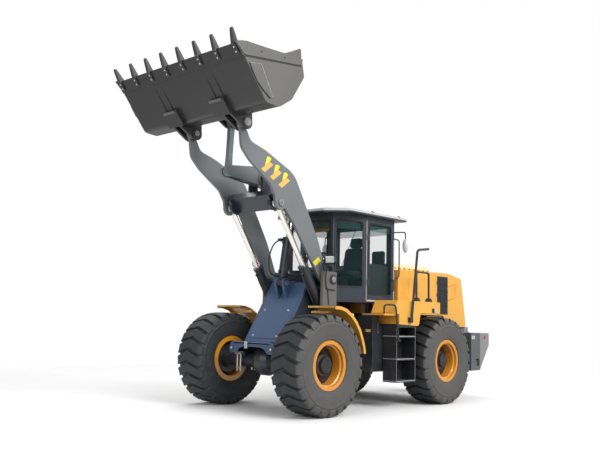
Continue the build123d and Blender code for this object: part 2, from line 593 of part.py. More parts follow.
def chassis_front():
    half = plate(SIDE_PLATE_OUTLINE, FRAME_PLATE_Y) + axle_saddle(0, FRAME_PLATE_Y, 925)
    half += plate([(TOWER_REAR_X, 1380), (-700, 1380), (-550, 1560), (-550, TOWER_TOP_Z),
                   (TOWER_REAR_X, TOWER_TOP_Z)], TOWER_PLATE_Y)
    half += block((TOWER_REAR_X, -700), (FRAME_PLATE_Y[1], TOWER_PLATE_Y[0]), (1380, 1420))
    half += block((TOWER_REAR_X, TOWER_REAR_X + 15), (FRAME_PLATE_Y[1], TOWER_PLATE_Y[0]), (1420, 2030))
    half += disc_y(BOOM_PIVOT, PIN_RADIUS, (FRAME_PLATE_Y[0], TOWER_PLATE_Y[1] + 25))
    half += disc_y(BOOM_PIVOT, 85, (TOWER_PLATE_Y[1], TOWER_PLATE_Y[1] + 18))
    half += disc_y(BOOM_PIVOT, 85, (FRAME_PLATE_Y[1], PIVOT_BOSS_Y[0] - 5))
    half += disc_y(LIFT_BASE, PIN_RADIUS, (FRAME_PLATE_Y[0], TOWER_PLATE_Y[1] + 15))
    half += disc_y(LIFT_BASE, 80, (FRAME_PLATE_Y[1], LIFT_Y - 42))
    half += disc_y(LIFT_BASE, 80, (LIFT_Y + 42, TOWER_PLATE_Y[0]))
    tilt_lug = disc_y(TILT_BASE, 84, TILT_LUG_Y)
    tilt_lug += plate([(-395, 2110), (-520, 2130), (-330, 1780), (-225, 2060)], TILT_LUG_Y)
    tilt_lug -= disc_y(TILT_BASE, PIN_RADIUS + PIN_CLEARANCE, (TILT_LUG_Y[0] - 1, TILT_LUG_Y[1] + 1))
    half += tilt_lug
    body = half + mirrored(half)
    (x0, z0), (x1, z1) = FRONT_SLOPE
    inside = (-FRAME_PLATE_Y[0], FRAME_PLATE_Y[0])
    body += plate([(x0, z0), (x1, z1), (x1 - FRONT_PLATE, z1), (x0 - FRONT_PLATE, z0)], inside)
    body += block((-300, 350), inside, (1040, 1060))
    body += block((-700, -660), inside, (1500, 2100))
    for level in PIVOT_LEVELS:
        low = level - LUG_THICKNESS / 2 - LUG_GAP
        high = level + LUG_THICKNESS / 2 + LUG_GAP
        for z in ((low - LUG_THICKNESS, low), (high, high + LUG_THICKNESS)):
            body += hinge_lug(z, True)
            body += block(DECK_LENGTH_X, inside, z)
            body -= disc_z((PIVOT_X, 0), PIVOT_PIN_RADIUS + PIN_CLEARANCE, (z[0] - 1, z[1] + 1))
    for side in (1, -1):
        for z in STEER_BRACKET_LEVELS:
            y = sorted((side * (STEER_PIN_Y - STEER_BRACKET_REACH), side * FRAME_PLATE_Y[0]))
            body += block((STEER_EYE_X - STEER_BRACKET_REACH, STEER_EYE_X + STEER_BRACKET_REACH), y, z)
    return body


def chassis_rear():
    rail = plate([(BULKHEAD_X[0], 600), (BULKHEAD_X[0], RAIL_TOP_Z), (COUNTERWEIGHT_X[1], RAIL_TOP_Z),
                  (COUNTERWEIGHT_X[1], RAIL_BOTTOM_Z), (-2750, RAIL_BOTTOM_Z), (-2500, 600)], RAIL_Y)
    body = rail + mirrored(rail)
    body += block(BULKHEAD_X, (-RAIL_Y[1], RAIL_Y[1]), (600, RAIL_TOP_Z))
    neck = (BULKHEAD_X[1], NECK_FRONT_X)
    for y in ((80, 120), (-120, -80)):
        body += block(neck, y, (600, RAIL_TOP_Z))
    for level in PIVOT_LEVELS:
        z = (level - LUG_THICKNESS / 2, level + LUG_THICKNESS / 2)
        body += hinge_lug(z, False)
        body += block((BULKHEAD_X[1], neck[1]), (-LUG_RADIUS - 60, LUG_RADIUS + 60), z)
        spread = LUG_GAP + LUG_THICKNESS
        body += disc_z((PIVOT_X, 0), PIVOT_PIN_RADIUS, (z[0] - spread, z[1] + spread))
        body += disc_z((PIVOT_X, 0), PIVOT_PIN_RADIUS + 25, (z[0] - spread - 20, z[0] - spread - 5))
        body += disc_z((PIVOT_X, 0), PIVOT_PIN_RADIUS, (z[0] - spread - 20, z[0] - spread + 1))
    for side in (1, -1):
        for z in STEER_BRACKET_LEVELS:
            y = [side * STEER_PIN_Y - STEER_BRACKET_REACH, side * STEER_PIN_Y + STEER_BRACKET_REACH]
            body += block((BULKHEAD_X[1], STEER_BASE_X), y, z)
            body += disc_z((STEER_BASE_X, side * STEER_PIN_Y), STEER_BRACKET_REACH, z)
        pin_z = (STEER_BRACKET_LEVELS[0][0], STEER_BRACKET_LEVELS[1][1])
        body += disc_z((STEER_BASE_X, side * STEER_PIN_Y), STEER_PIN_RADIUS, pin_z)
        tank_y = sorted((side * RAIL_Y[1], side * TANK_Y[0]))
        body += block((BULKHEAD_X[0] + 10, BULKHEAD_X[0] + 90), tank_y, (1050, 1130))
        for x in CAB_FEET_X:
            body += block((x - 40, x + 40), sorted((side * 300, side * 400)), (RAIL_TOP_Z, CAB_FLOOR_Z))
        to_hood = sorted((side * RAIL_Y[1], side * HOOD_HALF_WIDTH))
        body += block((-2600, -2560), to_hood, (RAIL_TOP_Z - 50, RAIL_TOP_Z))
        to_wall = sorted((side * RAIL_Y[1], side * (HOOD_HALF_WIDTH - HOOD_WALL)))
        body += block((-4400, -4360), to_wall, (RAIL_TOP_Z - 50, 1410))
        body += axle_saddle(REAR_AXLE_X, sorted((side * RAIL_Y[0], side * RAIL_Y[1])), RAIL_BOTTOM_Z)
    return body


def front_fender():
    """Bent sheet over each front wheel with a folded outer lip, on a bracket from the tower."""
    arc = [(540, 1690, 0), (-190, 1690, 220), (-610, 1430, 250), (-850, 1150, 200), (-930, 960, 0)]
    sheet = plate(arc + inset(arc, 12)[::-1], (810, 1350))
    lip = plate(arc + inset(arc, 60)[::-1], (1338, 1350))
    bracket = block((-800, -720), (TOWER_PLATE_Y[1] + SEAT_GAP, 900), (1200, 1240))
    bracket -= plate(arc + [(-930, 1800), (540, 1800)], (700, 910))
    bracket += block((-800, -720), (TOWER_PLATE_Y[1] + SEAT_GAP, 755), (1200, 1480))
    return pair(sheet + lip + bracket)


# ---- hood, counterweight, side boxes ---------------------------------------------------
HOOD_OUTLINE = [              # x, z, rounding
    (-2530, 1620, 0), (-4050, 1620, 0), (-4250, 1410, 0), (-4910, 1410, 20), (-4720, 2380, 60),
    (-4210, 2465, 60), (-2530, 2440, 20)]
HOOD_INSIDE = [(-2500, 1590), (-4062, 1590), (-4262, 1380), (-4874, 1380), (-4695, 2353), (-4207, 2435),
               (-2500, 2410)]
GRILLE_X = (-4225, -3835)
PANEL_SEAMS_X = (-2880, -3770)
PANEL_GAP = 8
GRILLE_Z = (1640, 2390)
GRILLE_SLATS = 5
REAR_GRILLE_HALF_WIDTH = 560
REAR_GRILLE_Z = (1560, 2280)
REAR_GRILLE_BARS = 9
VENT_SLOTS = 8


def hood():
    """Thin-walled cover over the engine with openings for the grilles and grab handles."""
    shell = plate(HOOD_OUTLINE, (-HOOD_HALF_WIDTH, HOOD_HALF_WIDTH))
    inside = (-HOOD_HALF_WIDTH + HOOD_WALL, HOOD_HALF_WIDTH - HOOD_WALL)
    shell -= plate(HOOD_INSIDE, inside)
    shell += block((-2560, -2530), inside, (1620, 2425))
    shell -= block((-5000, -4650), (-REAR_GRILLE_HALF_WIDTH, REAR_GRILLE_HALF_WIDTH), REAR_GRILLE_Z)
    cut = block(GRILLE_X, (inside[1] - 1, HOOD_HALF_WIDTH + 1), GRILLE_Z)
    shell -= cut + mirrored(cut)
    groove = (HOOD_HALF_WIDTH - PANEL_GAP, HOOD_HALF_WIDTH + 1)
    for x in PANEL_SEAMS_X:
        seam = block((x - PANEL_GAP / 2, x + PANEL_GAP / 2), groove, (1650, 2425))
        shell -= seam + mirrored(seam)
    side, out = HOOD_HALF_WIDTH, HOOD_HALF_WIDTH + 45
    handle = pipe([(-4240, side, 2200), (-4462, out, 2285), (-4466, out, 2015), (-4240, side, 1930)], 8, 20)
    return shell + handle + mirrored(handle)


def side_grille():
    """Louvred panel: a frame with stepped slats, flush in the hood's side."""
    x, z = GRILLE_X, GRILLE_Z
    y = (HOOD_HALF_WIDTH - HOOD_WALL + 5, HOOD_HALF_WIDTH)
    frame = 35
    opening_x, opening_z = (x[0] + frame, x[1] - frame), (z[0] + frame, z[1] - frame)
    panel = block(x, y, z) - block(opening_x, (y[0] - 1, y[1] + 1), opening_z)
    panel += block(opening_x, (y[0], y[1] - 14), opening_z)
    pitch = (opening_z[1] - opening_z[0]) / GRILLE_SLATS
    for i in range(GRILLE_SLATS):
        low = opening_z[0] + i * pitch
        panel += block(opening_x, (y[0], y[1] - 4), (low + 0.08 * pitch, low + 0.92 * pitch))
    return pair(panel)


def rear_grille():
    """Radiator grille in the sloping rear wall."""
    low_end, high_end = HOOD_OUTLINE[3], HOOD_OUTLINE[4]
    slope = (high_end[0] - low_end[0]) / (high_end[1] - low_end[1])

    def on_slope(height, depth):
        return (low_end[0] + (height - low_end[1]) * slope + depth, height)

    def strip(low, high, rise=0, depth=(0, 25)):
        return [on_slope(low, depth[0]), (on_slope(low, depth[1])[0], low + rise),
                (on_slope(high, depth[1])[0], high + rise), on_slope(high, depth[0])]

    z = REAR_GRILLE_Z
    w = REAR_GRILLE_HALF_WIDTH
    panel = plate(strip(*z), (-w, w)) - block((-5000, -4600), (-w + 40, w - 40), (z[0] + 40, z[1] - 40))
    pitch = (z[1] - z[0] - 80) / REAR_GRILLE_BARS
    for i in range(REAR_GRILLE_BARS):
        low = z[0] + 44 + i * pitch
        panel += plate(strip(low, low + 34, 18, (5, 20)), (-w + 35, w - 35))
    return panel


def hood_vent():
    """Raised air box on the hood's top with a row of slots along each side."""
    x = (-4160, -2760)
    half, low, high = 500, 2448, 2590
    middle = (x[0] + x[1]) / 2
    box = loft([Pos(middle, 0, low - 10) * Rectangle(x[1] - x[0], 2 * half),
                Pos(middle, 0, high) * Rectangle(x[1] - x[0] - 160, 2 * half - 160)])
    slot = block((-50, 50), (half - 60, half + 10), (2486, 2516))
    pitch = (x[1] - x[0] - 260) / (VENT_SLOTS - 1)
    for i in range(VENT_SLOTS):
        cut = Pos(x[0] + 130 + i * pitch, 0, 0) * slot
        box -= cut + mirrored(cut)
    return box - plate(HOOD_OUTLINE, (-HOOD_HALF_WIDTH, HOOD_HALF_WIDTH))


def counterweight():
    """Heavy rear casting with a lamp pocket in each flank and a slot and pin hole for towing."""
    outline = [(-4550, 1290, 0), (-5265, 1290, 15), (-5265, 1050, 20), (-4900, 555, 15), (-4550, 550, 0)]
    w = COUNTERWEIGHT_HALF_WIDTH
    casting = plate(outline, (-w, w))
    casting += block((-5050, -4620), (-780, 780), (1290, 1405))
    flank = block((-5300, -4900), (w - 8, w + 1), (500, 1300))
    pocket = block((-4860, -4720), (w - 60, w + 1), (640, 780))
    casting -= flank + mirrored(flank) + pocket + mirrored(pocket)
    casting -= block((-5266, -5060), (-90, 90), (1070, 1150))
    return casting - disc_z((HITCH_X, 0), HITCH_RADIUS, (HITCH_FLOOR_Z, 1310))


def engine():
    return block((-4100, -2750), (-RAIL_Y[1], RAIL_Y[1]), (RAIL_TOP_Z, 2150))


def tanks():
    """Fuel and hydraulic tanks under the steps, rounded below and set back behind the front corner."""
    near, out = TANK_Y
    tank = wall([(near, 640), (out - 40, 600, 60), (out, 760, 200), (out, STEP_Z[0]), (near, STEP_Z[0])], TANK_X)
    under_fender = (FENDER_FLOOR_Z - 5, STEP_Z[1])
    tank -= block((TANK_X[0] - 1, PIVOT_X - 80), (near - 1, out + 1), under_fender)
    return pair(tank)


def steps():
    """Walkway plate over each tank."""
    rear = PIVOT_X - 170
    front = (PIVOT_X + 168, SIDE_Y, 25)
    return pair(deck([(rear, TANK_Y[0]), (rear, SIDE_Y), front, (PIVOT_X, TANK_Y[0])], STEP_Z))


REAR_FENDER_OUTLINE = [       # x, z, rounding
    (PIVOT_X - 200, FENDER_TOP_Z, 25), (PIVOT_X - 85, 1640, 0), (PIVOT_X - 150, 1440, 20),
    (REAR_AXLE_X + 800, FENDER_FLOOR_Z, 60), (REAR_AXLE_X + 745, 1640, 40), (REAR_AXLE_X + 110, 1640, 0),
    (REAR_AXLE_X + 110, FENDER_TOP_Z, 0)]


def rear_fenders():
    """Box fender between the step and the rear wheel, stepped out from the hood."""
    box = plate(REAR_FENDER_OUTLINE, (HOOD_HALF_WIDTH + SEAT_GAP, SIDE_Y))
    return pair(box - block((PIVOT_X - 250, PIVOT_X + 400), (0, SIDE_Y + 1), (1400, STEP_Z[1])))


def ladders():
    """Two-tread hanging ladder under each fender box, with a closed back."""
    x, y = LADDER_X, (1010, SIDE_Y)
    low, top = LADDER_TREADS[0], 1445
    ladder = block((x[0], x[0] + 12), y, (low, top)) + block((x[1] - 12, x[1]), y, (low, top))
    for tread in LADDER_TREADS:
        ladder += block(x, y, (tread, tread + LADDER_TREAD))
    ladder += block(x, (y[0], y[0] + 8), (low, top))
    ladder += block(x, y, (1380, top))
    return pair(ladder - plate(REAR_FENDER_OUTLINE, (y[0] - 1, y[1] + 1)))


def rails():
    """On each side a tall bent boarding rail, a hoop with splayed feet and a low rail by the ladder."""
    out = SIDE_Y + 40
    tall = pipe([(-2210, out, 1470), (-2390, out, 2765), (-2740, out, 2810)], 22, 70)
    tall += block((-2260, -2160), (SIDE_Y + SEAT_GAP, out + 5), (1470, 1560))
    front, back, y = -2710, -3110, 1100
    foot_z = FENDER_TOP_Z + SEAT_GAP
    hoop = pipe([(front, y, foot_z + 12), (front, y, 2400), (back, y, 2400), (back, y, foot_z + 12)], 20, 50)
    for x in (front, back):
        foot = [(x - 70, foot_z), (x - 20, foot_z + 75), (x + 20, foot_z + 75), (x + 70, foot_z)]
        hoop += plate(foot, (y - 45, y + 45))
    x, y = PIVOT_X + 130, SIDE_Y - 40
    low = pipe([(x, y, STEP_Z[1] + SEAT_GAP), (x, y, 1765), (x - 225, SIDE_Y + 35, 1765),
                (x - 325, SIDE_Y + 35, 1150)], 16, 60)
    low += block((LADDER_X[1] - 60, x - 320), (SIDE_Y + SEAT_GAP, SIDE_Y + 40), (1140, 1180))
    return pair(tall + hoop + low)


# ---- cab -------------------------------------------------------------------------------
CAB_PLAN = [(CAB_NOSE_X, CAB_NOSE_HALF_WIDTH), (DOOR_X[1], CAB_HALF_WIDTH), (DOOR_X[0] - 30, CAB_HALF_WIDTH),
            (CAB_REAR_X, CAB_HALF_WIDTH - 60)]
WINDOW_Z = (2060, 3230)
WINDSCREEN_Z = (2330, 3230)


def plan(points):
    """Closed plan outline from its left half, mirrored to the right."""
    return points + [(x, -y, *rounding) for x, y, *rounding in reversed(points)]


def cab_inner_plan():
    w = CAB_WALL
    return [(CAB_NOSE_X - w, CAB_NOSE_HALF_WIDTH - 0.35 * w), (DOOR_X[1] + 0.2 * w, CAB_HALF_WIDTH - w),
            (DOOR_X[0] - 30, CAB_HALF_WIDTH - w), (CAB_REAR_X + w, CAB_HALF_WIDTH - 60 - 0.5 * w)]


def quarter_plane():
    """Plane on the slanted front corner, x up the outline towards the door, y up."""
    (x0, y0), (x1, y1) = CAB_PLAN[0], CAB_PLAN[1]
    along = Vector(x1 - x0, y1 - y0, 0)
    out = Vector(along.Y, -along.X, 0) * -1
    return Plane((x0, y0, 0), x_dir=along, z_dir=along.cross(Vector(0, 0, 1))), along.length


def window(corners, plane, depth):
    return extrude(plane * rounded(corners), depth, both=True)


def pane_corners(corners, shrink):
    """Corners (u, v, rounding) of a window, or of its pane that is smaller all round."""
    middle = [sum(corner[i] for corner in corners) / len(corners) for i in (0, 1)]
    smaller = []
    for u, v, radius in corners:
        u += shrink if u < middle[0] else -shrink
        v += shrink if v < middle[1] else -shrink
        smaller.append((u, v, radius - shrink))
    return smaller


def cab_openings(shrink=0):
    """Plane and corners of every fixed window; shrink leaves the pane inside them."""
    quarter, length = quarter_plane()
    low, high = WINDOW_Z
    half = CAB_NOSE_HALF_WIDTH - 45
    windows = {
        "front": (Plane((CAB_NOSE_X, 0, 0), x_dir=(0, 1, 0), z_dir=(1, 0, 0)),
                  [(-half, WINDSCREEN_Z[0], 60), (half, WINDSCREEN_Z[0], 60), (half, high, 30),
                   (-half, high, 30)]),
        "quarter": (quarter, [(45, low, 130), (length - 75, low, 50), (length - 75, high, 30),
                              (45, high, 30)]),
        "rear": (Plane((CAB_REAR_X, 0, 0), x_dir=(0, 1, 0), z_dir=(1, 0, 0)),
                 [(-600, 2520, 40), (600, 2520, 40), (600, high, 40), (-600, high, 40)]),
        "right": (Plane((0, -CAB_HALF_WIDTH, 0), x_dir=(1, 0, 0), z_dir=(0, -1, 0)),
                  [(DOOR_X[0] + 60, low, 50), (DOOR_X[1] - 60, low, 50), (DOOR_X[1] - 60, high, 40),
                   (DOOR_X[0] + 60, high, 40)])}
    return {name: (plane, pane_corners(corners, shrink)) for name, (plane, corners) in windows.items()}


DOOR_Z = (CAB_FLOOR_Z + 55, 3270)
DOOR_GAP = 6


def cab_frame():
    """Hollow shell of floor, pillars and lower panels, open at the windows and the doorway."""
    shell = deck(plan(CAB_PLAN), (CAB_FLOOR_Z, CAB_TOP_Z))
    shell -= deck(plan(cab_inner_plan()), (CAB_FLOOR_Z + 40, CAB_TOP_Z + 1))
    for name, (plane, corners) in cab_openings().items():
        cut = window(corners, plane, CAB_WALL + 40)
        shell -= cut
        if name == "quarter":
            shell -= mirrored(cut)
    shell -= block(DOOR_X, (CAB_HALF_WIDTH - CAB_WALL - 20, CAB_HALF_WIDTH + 10), DOOR_Z)
    y = CAB_HALF_WIDTH
    foot, out = DOOR_X[0] - 15, y + 62
    grab = pipe([(foot, y - 20, 3000), (foot - 85, out, 2980), (foot - 90, out, 2310),
                 (foot, y - 20, 2230)], 12, 45)
    inside = deck(plan(cab_inner_plan()), (CAB_FLOOR_Z, CAB_TOP_Z))
    return shell + (grab - inside)


def cab_glass():
    panes = []
    for name, (plane, corners) in cab_openings(SEAT_GAP).items():
        inward = 1 if name == "rear" else -1
        pane = extrude(plane.offset(inward * (CAB_WALL / 2 + GLASS / 2)) * rounded(corners), -inward * GLASS)
        panes.append(pane)
        if name == "quarter":
            panes.append(mirrored(pane))
    return Part() + panes


DOOR_WINDOW = [               # x, z, rounding
    (DOOR_X[0] + 60, DOOR_Z[0] + 85, 35), (DOOR_X[1] - 60, DOOR_Z[0] + 85, 35),
    (DOOR_X[1] - 60, DOOR_Z[1] - 50, 35), (DOOR_X[0] + 60, DOOR_Z[1] - 50, 35)]


def door():
    """Door with its window cut, hinge barrels at the front edge and an upright handle."""
    x = (DOOR_X[0] + DOOR_GAP, DOOR_X[1] - DOOR_GAP)
    z = (DOOR_Z[0] + DOOR_GAP, DOOR_Z[1] - DOOR_GAP)
    y = (CAB_HALF_WIDTH - CAB_WALL, CAB_HALF_WIDTH)
    panel = block(x, y, z) - plate(DOOR_WINDOW, (y[0] - 1, y[1] + 1))
    for height in (2150, 2950):
        span = (height - 50, height + 50)
        panel += disc_z((DOOR_X[1], y[1] + 16), 14, span)
        panel += block((DOOR_X[1] - 55, DOOR_X[1]), (y[1], y[1] + 12), span)
    handle_x = DOOR_X[0] + 38
    handle = pipe([(handle_x, y[1], 2240), (handle_x, y[1] + 45, 2240), (handle_x, y[1] + 45, 2030),
                   (handle_x, y[1], 2030)], 9, 20)
    return panel + handle


def door_glass():
    middle = CAB_HALF_WIDTH - CAB_WALL / 2
    return plate(pane_corners(DOOR_WINDOW, SEAT_GAP), (middle - GLASS / 2, middle + GLASS / 2))


def cab_roof():
    """Roof panel, thin at its overhanging edge and raised in the middle."""
    front, rear = ROOF_X[1], ROOF_X[0]
    wide, narrow = ROOF_HALF_WIDTH, ROOF_HALF_WIDTH - 80
    edge = plan([(front, 510, 40), (front - 130, 690, 40), (front - 300, wide, 40), (rear, wide, 40)])
    raised = plan([(front - 70, 460, 30), (front - 180, 610, 30), (front - 330, narrow, 30),
                   (rear + 80, narrow, 30)])
    top = CAB_TOP_Z + ROOF_EDGE
    return deck(edge, (CAB_TOP_Z, top)) + deck(raised, (top, CAB_TOP_Z + ROOF_THICKNESS))


def seat():
    """Cushion, reclined back and headrest."""
    cushion = wall([(-250, 2290, 30), (250, 2290, 30), (250, 2400, 45), (-250, 2400, 45)], (-2230, -1760))
    back = plate([(-2250, 2400, 0), (-2150, 2400, 30), (-2240, 2900, 40), (-2330, 2900, 40)], (-240, 240))
    head = plate([(-2345, 2880, 30), (-2262, 2880, 0), (-2285, 3090, 35), (-2355, 3090, 30)], (-140, 140))
    return cushion + back + head


def seat_base():
    return block((-2200, -1820), (-200, 200), (CAB_FLOOR_Z + 40, 2290))


def console():
    """Steering column with its wheel, and the instrument pod on it."""
    pod = plate([(-1080, 1840), (-1080, 2360), (-1200, 2420), (-1290, 2360), (-1240, 1840)], (-230, 230))
    column_foot, column_top = (-1260, 0, 2340), (-1440, 0, 2560)
    column = bar(column_foot, column_top, 35)
    tilt = Plane(column_top, z_dir=Vector(*column_top) - Vector(*column_foot))
    rim_section = Plane.XZ * (Pos(190, 0) * RegularPolygon(16, 6))
    spokes = Box(360, 30, 14) + Box(30, 360, 14) + Cylinder(45, 30)
    wheel = tilt * (revolve(rim_section, Axis.Z, 360) + spokes)
    return pod + column + wheel


def mirrors():
    """Oval mirror on an arm from the cab's rear pillar."""
    foot = (CAB_REAR_X + 60, CAB_HALF_WIDTH - 38, 3120)
    arm = pipe([foot, (-2520, 1000, 3120), (-2520, 1030, 2720)], 12, 40)
    head = Pos(-2520, 1045, 2900) * Rot(0, 90, 0) * extrude(Ellipse(170, 85), 20, both=True)
    arm -= deck(plan(CAB_PLAN), (CAB_FLOOR_Z, CAB_TOP_Z))
    return pair(arm + head)


def headlamps():
    """Rectangular lamp in a guard hoop, on a bracket from the tower."""
    y = 780
    lamp = block((-560, -470), (y - 90, y + 90), (2330, 2460))
    foot_z = TOWER_TOP_Z + SEAT_GAP
    arm = plate([(-700, foot_z), (-560, foot_z), (-500, 2330), (-560, 2330)], TOWER_PLATE_Y)
    left, right = y + 110, y - 110
    hoop = pipe([(-455, right, 2345), (-455, right, 2475), (-455, left, 2475), (-455, left, 2345)], 8, 30)
    for side in (right, left):
        hoop += block((-520, -450), sorted((side, y + (side - y) * 0.8)), (2345, 2365))
    return pair(lamp + arm + hoop)


# ---- all pieces ------------------------------------------------------------------------
def wheel_places():
    """name, x, mirrored"""
    return [("front_left", 0, False), ("front_right", 0, True),
            ("rear_left", REAR_AXLE_X, False), ("rear_right", REAR_AXLE_X, True)]


def build():
    nodes = {
        "chassis_rear": chassis_rear(), "axle_rear": axle(REAR_AXLE_X), "engine": engine(),
        "hood": hood(), "side_grilles": side_grille(), "rear_grille": rear_grille(),
        "hood_vent": hood_vent(), "counterweight": counterweight(), "tanks": tanks(), "steps": steps(),
        "rear_fenders": rear_fenders(), "ladders": ladders(), "rails": rails(),
        "cab_frame": cab_frame(), "cab_glass": cab_glass(), "cab_roof": cab_roof(), "seat_cushions": seat(),
        "seat_base": seat_base(), "console": console(), "mirrors": mirrors(),
        "door": door(), "door_glass": door_glass(),
        "chassis_front": chassis_front(), "axle_front": axle(0), "front_fenders": front_fender(),
        "headlamps": headlamps(),
        "boom": boom(), "crank": crank(), "crank_pin": pin(CRANK_PIVOT, (-CRANK_LUG_Y[1], CRANK_LUG_Y[1])),
        "link": link(), "link_pin": pin(LINK_PIN, (-CRANK_CHEEK_Y[1], CRANK_CHEEK_Y[1])),
        "tilt_pin": pin(TILT_BASE, (-TILT_LUG_Y[1], TILT_LUG_Y[1])),
        "bucket_pins": pair(pin(BUCKET_HINGE, (BUCKET_EAR_Y[0][0] - 18, BUCKET_EAR_Y[1][1] + 18))),
        "bucket": bucket(), "bucket_teeth": teeth(),
    }
    nodes["tilt_barrel"], nodes["tilt_rod"] = tilt_cylinder()
    for name, side in (("left", 1), ("right", -1)):
        nodes["lift_barrel_" + name], nodes["lift_rod_" + name] = lift_cylinder(side)
        nodes["steer_barrel_" + name], nodes["steer_rod_" + name] = steer_cylinder(side)
    tyre_shape, rim_shape = tyre(), rim()
    for name, x, right in wheel_places():
        for kind, shape in (("tyre", tyre_shape), ("rim", rim_shape)):
            nodes[kind + "_" + name] = Pos(x, 0, 0) * (mirrored(shape) if right else shape)
    return nodes


NODES = build()
BOXES = [shape.bounding_box() for shape in NODES.values()]
SHIFT = -((1 - ORIGIN_SHARE) * min(b.min.X for b in BOXES) + ORIGIN_SHARE * max(b.max.X for b in BOXES))

for node, shape in NODES.items():
    export_step(Pos(SHIFT, 0, 0) * shape, "parts/" + node + ".step")
print("shift", round(SHIFT, 3), "nodes", len(NODES))
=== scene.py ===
import json
import math

import bmesh
import bpy
from mathutils import Matrix, Vector


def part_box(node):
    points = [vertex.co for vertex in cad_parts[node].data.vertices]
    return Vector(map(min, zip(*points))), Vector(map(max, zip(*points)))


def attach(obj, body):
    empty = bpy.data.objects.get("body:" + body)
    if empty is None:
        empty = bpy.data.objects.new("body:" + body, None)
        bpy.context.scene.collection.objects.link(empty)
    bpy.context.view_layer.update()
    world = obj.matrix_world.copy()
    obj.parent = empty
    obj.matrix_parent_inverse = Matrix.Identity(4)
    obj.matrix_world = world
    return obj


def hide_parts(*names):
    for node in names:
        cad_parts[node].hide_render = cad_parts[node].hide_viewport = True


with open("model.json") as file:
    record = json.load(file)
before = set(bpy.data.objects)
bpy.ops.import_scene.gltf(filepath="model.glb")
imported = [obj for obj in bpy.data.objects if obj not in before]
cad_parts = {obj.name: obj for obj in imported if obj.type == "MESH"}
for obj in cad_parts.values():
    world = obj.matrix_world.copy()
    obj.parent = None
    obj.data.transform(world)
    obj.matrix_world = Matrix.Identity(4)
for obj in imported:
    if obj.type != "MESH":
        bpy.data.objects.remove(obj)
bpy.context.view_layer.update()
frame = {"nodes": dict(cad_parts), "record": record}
nodes = frame["nodes"]
slotOf = {entry["node"]: entry["material_slot"] for entry in frame["record"]["subparts"]}


def middleOf(node):
    low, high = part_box(node)
    return [(low[i] + high[i]) / 2 for i in range(3)]


axleX = middleOf("rim_front_left")[0]      # front axle, from which places along the machine are given
rearAxleX = middleOf("rim_rear_left")[0]
wheelY = middleOf("tyre_front_left")[1]
axleZ = middleOf("rim_front_left")[2]


def at(x, y, z):
    # place by its distance ahead of the front axle, to the left and up
    return Vector((axleX + x, y, z))


# camera, light and floor
cameraSettings = {
    "place": (8.973, 9.102, 1.478), "yaw": 223.2, "pitch": 7.04, "roll": 1.37, "lens": 45.64, "sensor": 36}
studioLights = {
    "keyLight": {"place": (0.5, 15.0, 12.0), "target": (0, 0, 2.2), "size": (12, 9), "power": 2600},
    "frontLight": {"place": (14.5, 3.0, 6.0), "target": (0, 0, 2.2), "size": (9, 7), "power": 420},
    "rearLight": {"place": (-15.5, 4.0, 9.0), "target": (0, 0, 2.0), "size": (9, 7), "power": 600},
    "topLight": {"place": (-1.5, -6.0, 14.0), "target": (0, 0, 2.0), "size": (12, 12), "power": 900}}


def addCamera(settings):
    yaw, pitch, roll = (math.radians(settings[key]) for key in ("yaw", "pitch", "roll"))
    ahead = Vector((math.cos(yaw) * math.cos(pitch), math.sin(yaw) * math.cos(pitch), math.sin(pitch)))
    right = ahead.cross(Vector((0, 0, 1))).normalized()
    up = right.cross(ahead)
    matrix = Matrix((math.cos(roll) * right + math.sin(roll) * up,
                     math.cos(roll) * up - math.sin(roll) * right, -ahead)).transposed().to_4x4()
    matrix.translation = at(*settings["place"])
    data = bpy.data.cameras.new("camera")
    data.lens = settings["lens"]
    data.sensor_width = settings["sensor"]
    camera = bpy.data.objects.new("camera", data)
    camera.matrix_world = matrix
    bpy.context.scene.collection.objects.link(camera)
    bpy.context.scene.camera = camera


def addAreaLight(name, settings):
    data = bpy.data.lights.new(name, "AREA")
    data.shape = "RECTANGLE"
    data.size, data.size_y = settings["size"]
    data.energy = settings["power"]
    light = bpy.data.objects.new(name, data)
    toward = Vector(settings["target"]) - Vector(settings["place"])
    light.matrix_world = (Matrix.Translation(settings["place"])
                          @ toward.to_track_quat("-Z", "Y").to_matrix().to_4x4())
    bpy.context.scene.collection.objects.link(light)


def addWorld(strength):
    world = bpy.data.worlds.new("studio")
    world.use_nodes = True
    tree = world.node_tree
    background = tree.nodes["Background"]
    background.inputs["Color"].default_value = (1, 1, 1, 1)
    path = tree.nodes.new("ShaderNodeLightPath")
    seen = mathNode(tree, "MAXIMUM", path.outputs["Is Camera Ray"], path.outputs["Is Transmission Ray"])
    level = tree.nodes.new("ShaderNodeMapRange")
    level.inputs["To Min"].default_value = strength
    tree.links.new(seen, level.inputs["Value"])
    tree.links.new(level.outputs["Result"], background.inputs["Strength"])
    bpy.context.scene.world = world


